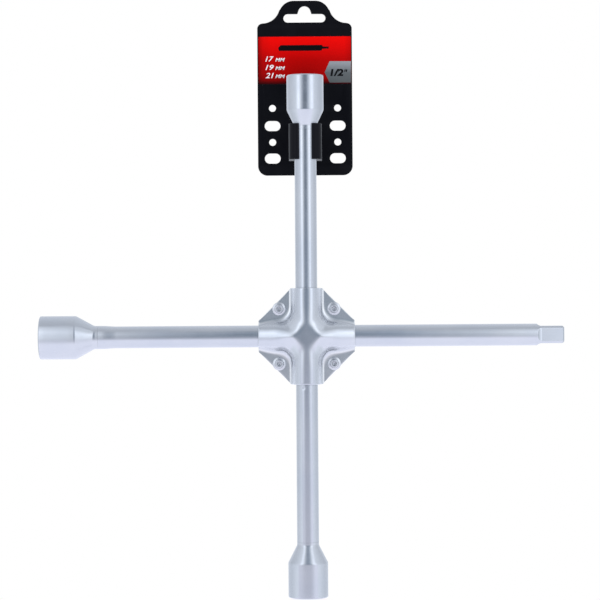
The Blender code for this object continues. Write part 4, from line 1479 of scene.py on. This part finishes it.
def floor_material():
    """Evenly pale to the camera, lit and fading outwards to all else, and clear from below."""
    paint = Paint("floor")
    paint.set(Base_Color=(0.86, 0.865, 0.88, 1.0), Roughness=0.6, Specular_IOR_Level=0.2)
    path = paint.new("ShaderNodeLightPath")
    glow = paint.new("ShaderNodeEmission")
    glow.inputs["Color"].default_value = (*grey(0.86, LAVENDER), 1.0)
    glow.inputs["Strength"].default_value = 1.0
    clear = paint.new("ShaderNodeBsdfTransparent").outputs[0]
    lit = paint.new("ShaderNodeAddShader")
    lift = paint.new("ShaderNodeEmission")
    lift.inputs["Strength"].default_value = 0.32
    paint.put(lit.inputs[0], paint.shader.outputs[0])
    paint.put(lit.inputs[1], lift.outputs[0])
    distance = paint.new("ShaderNodeVectorMath")
    distance.operation = "LENGTH"
    paint.put(distance.inputs[0], paint.position)
    outward = paint.ranged(distance.outputs["Value"], span=(0.0, FLOOR_R))
    fade = paint.fade(outward, span=(0.45, 0.97), smooth=True)
    faded = paint.mix_shaders(fade, lit.outputs[0], clear)
    # light path: the first shader is for all other rays, the second for camera rays
    seen = paint.mix_shaders(path.outputs["Is Camera Ray"], glow.outputs[0], faded)
    behind = paint.new("ShaderNodeNewGeometry").outputs["Backfacing"]
    surface = paint.mix_shaders(behind, seen, clear)
    paint.put(paint.tree.nodes["Material Output"].inputs["Surface"], surface)
    return paint.material


def build_floor():
    work = bmesh.new()
    bmesh.ops.create_circle(work, cap_ends=True, segments=96, radius=FLOOR_R)
    floor = link("floor", mesh_from("floor", work))
    floor.location = (0, hub.y, FLOOR_Z)
    floor.data.materials.append(floor_material())


def build_world():
    """White to the camera, and the dim room beyond the tent to everything else."""
    world = bpy.data.worlds.new("studio")
    bpy.context.scene.world = world
    world.use_nodes = True
    nodes = Nodes(world.node_tree)
    background = nodes.tree.nodes["Background"]
    direction = nodes.new("ShaderNodeTexCoord").outputs["Generated"]
    depth = nodes.ranged(nodes.part("Y", direction), span=(-1.0, 1.0))
    # from overhead, towards the camera, to behind the tool
    room = nodes.ramp(depth, [(0.30, grey(0.48)), (0.80, grey(0.64))])
    nodes.put(background.inputs["Color"], room)
    background.inputs["Strength"].default_value = 1.0
    white = nodes.new("ShaderNodeBackground")
    white.inputs["Color"].default_value = (1.0, 1.0, 1.0, 1.0)
    white.inputs["Strength"].default_value = 1.0
    camera_ray = nodes.new("ShaderNodeLightPath").outputs["Is Camera Ray"]
    surface = nodes.mix_shaders(camera_ray, background.outputs[0], white.outputs[0])
    nodes.put(nodes.tree.nodes["World Output"].inputs["Surface"], surface)


build_floor()
build_world()


# ---- lights and camera -------------------------------------------------------------------------
def soft_light(name, where, size, energy):
    """An area light aimed at the hub, and not seen in the chrome."""
    lamp = bpy.data.lights.new(name, "AREA")
    lamp.size = size
    lamp.energy = energy
    made = link(name, lamp)
    made.location = where
    made.rotation_euler = (hub - Vector(where)).to_track_quat("-Z", "Y").to_euler()
    made.visible_glossy = False


soft_light("soft_front_left", where=(-0.45, -0.75, 0.55), size=0.5, energy=4.0)
soft_light("soft_front_right", where=(0.5, -0.7, 0.35), size=0.5, energy=2.6)
soft_light("soft_back", where=(0.2, 1.2, 0.8), size=0.8, energy=6.0)

CAMERA_FROM_HUB = (-0.0047, -1.6, 0.0266)
CAMERA_ROLL = -0.4  # degrees

camera = link("camera", bpy.data.cameras.new("camera"))
camera.data.lens = 130.6
camera.data.sensor_width = 36.0
camera.data.clip_start, camera.data.clip_end = 0.05, 20.0
camera.location = hub + Vector(CAMERA_FROM_HUB)
camera.rotation_euler = (QUARTER, 0, 0)
camera.rotation_euler.rotate_axis("Z", math.radians(CAMERA_ROLL))
scene = bpy.context.scene
scene.camera = camera
scene.view_settings.view_transform = "Standard"
scene.view_settings.look = "None"
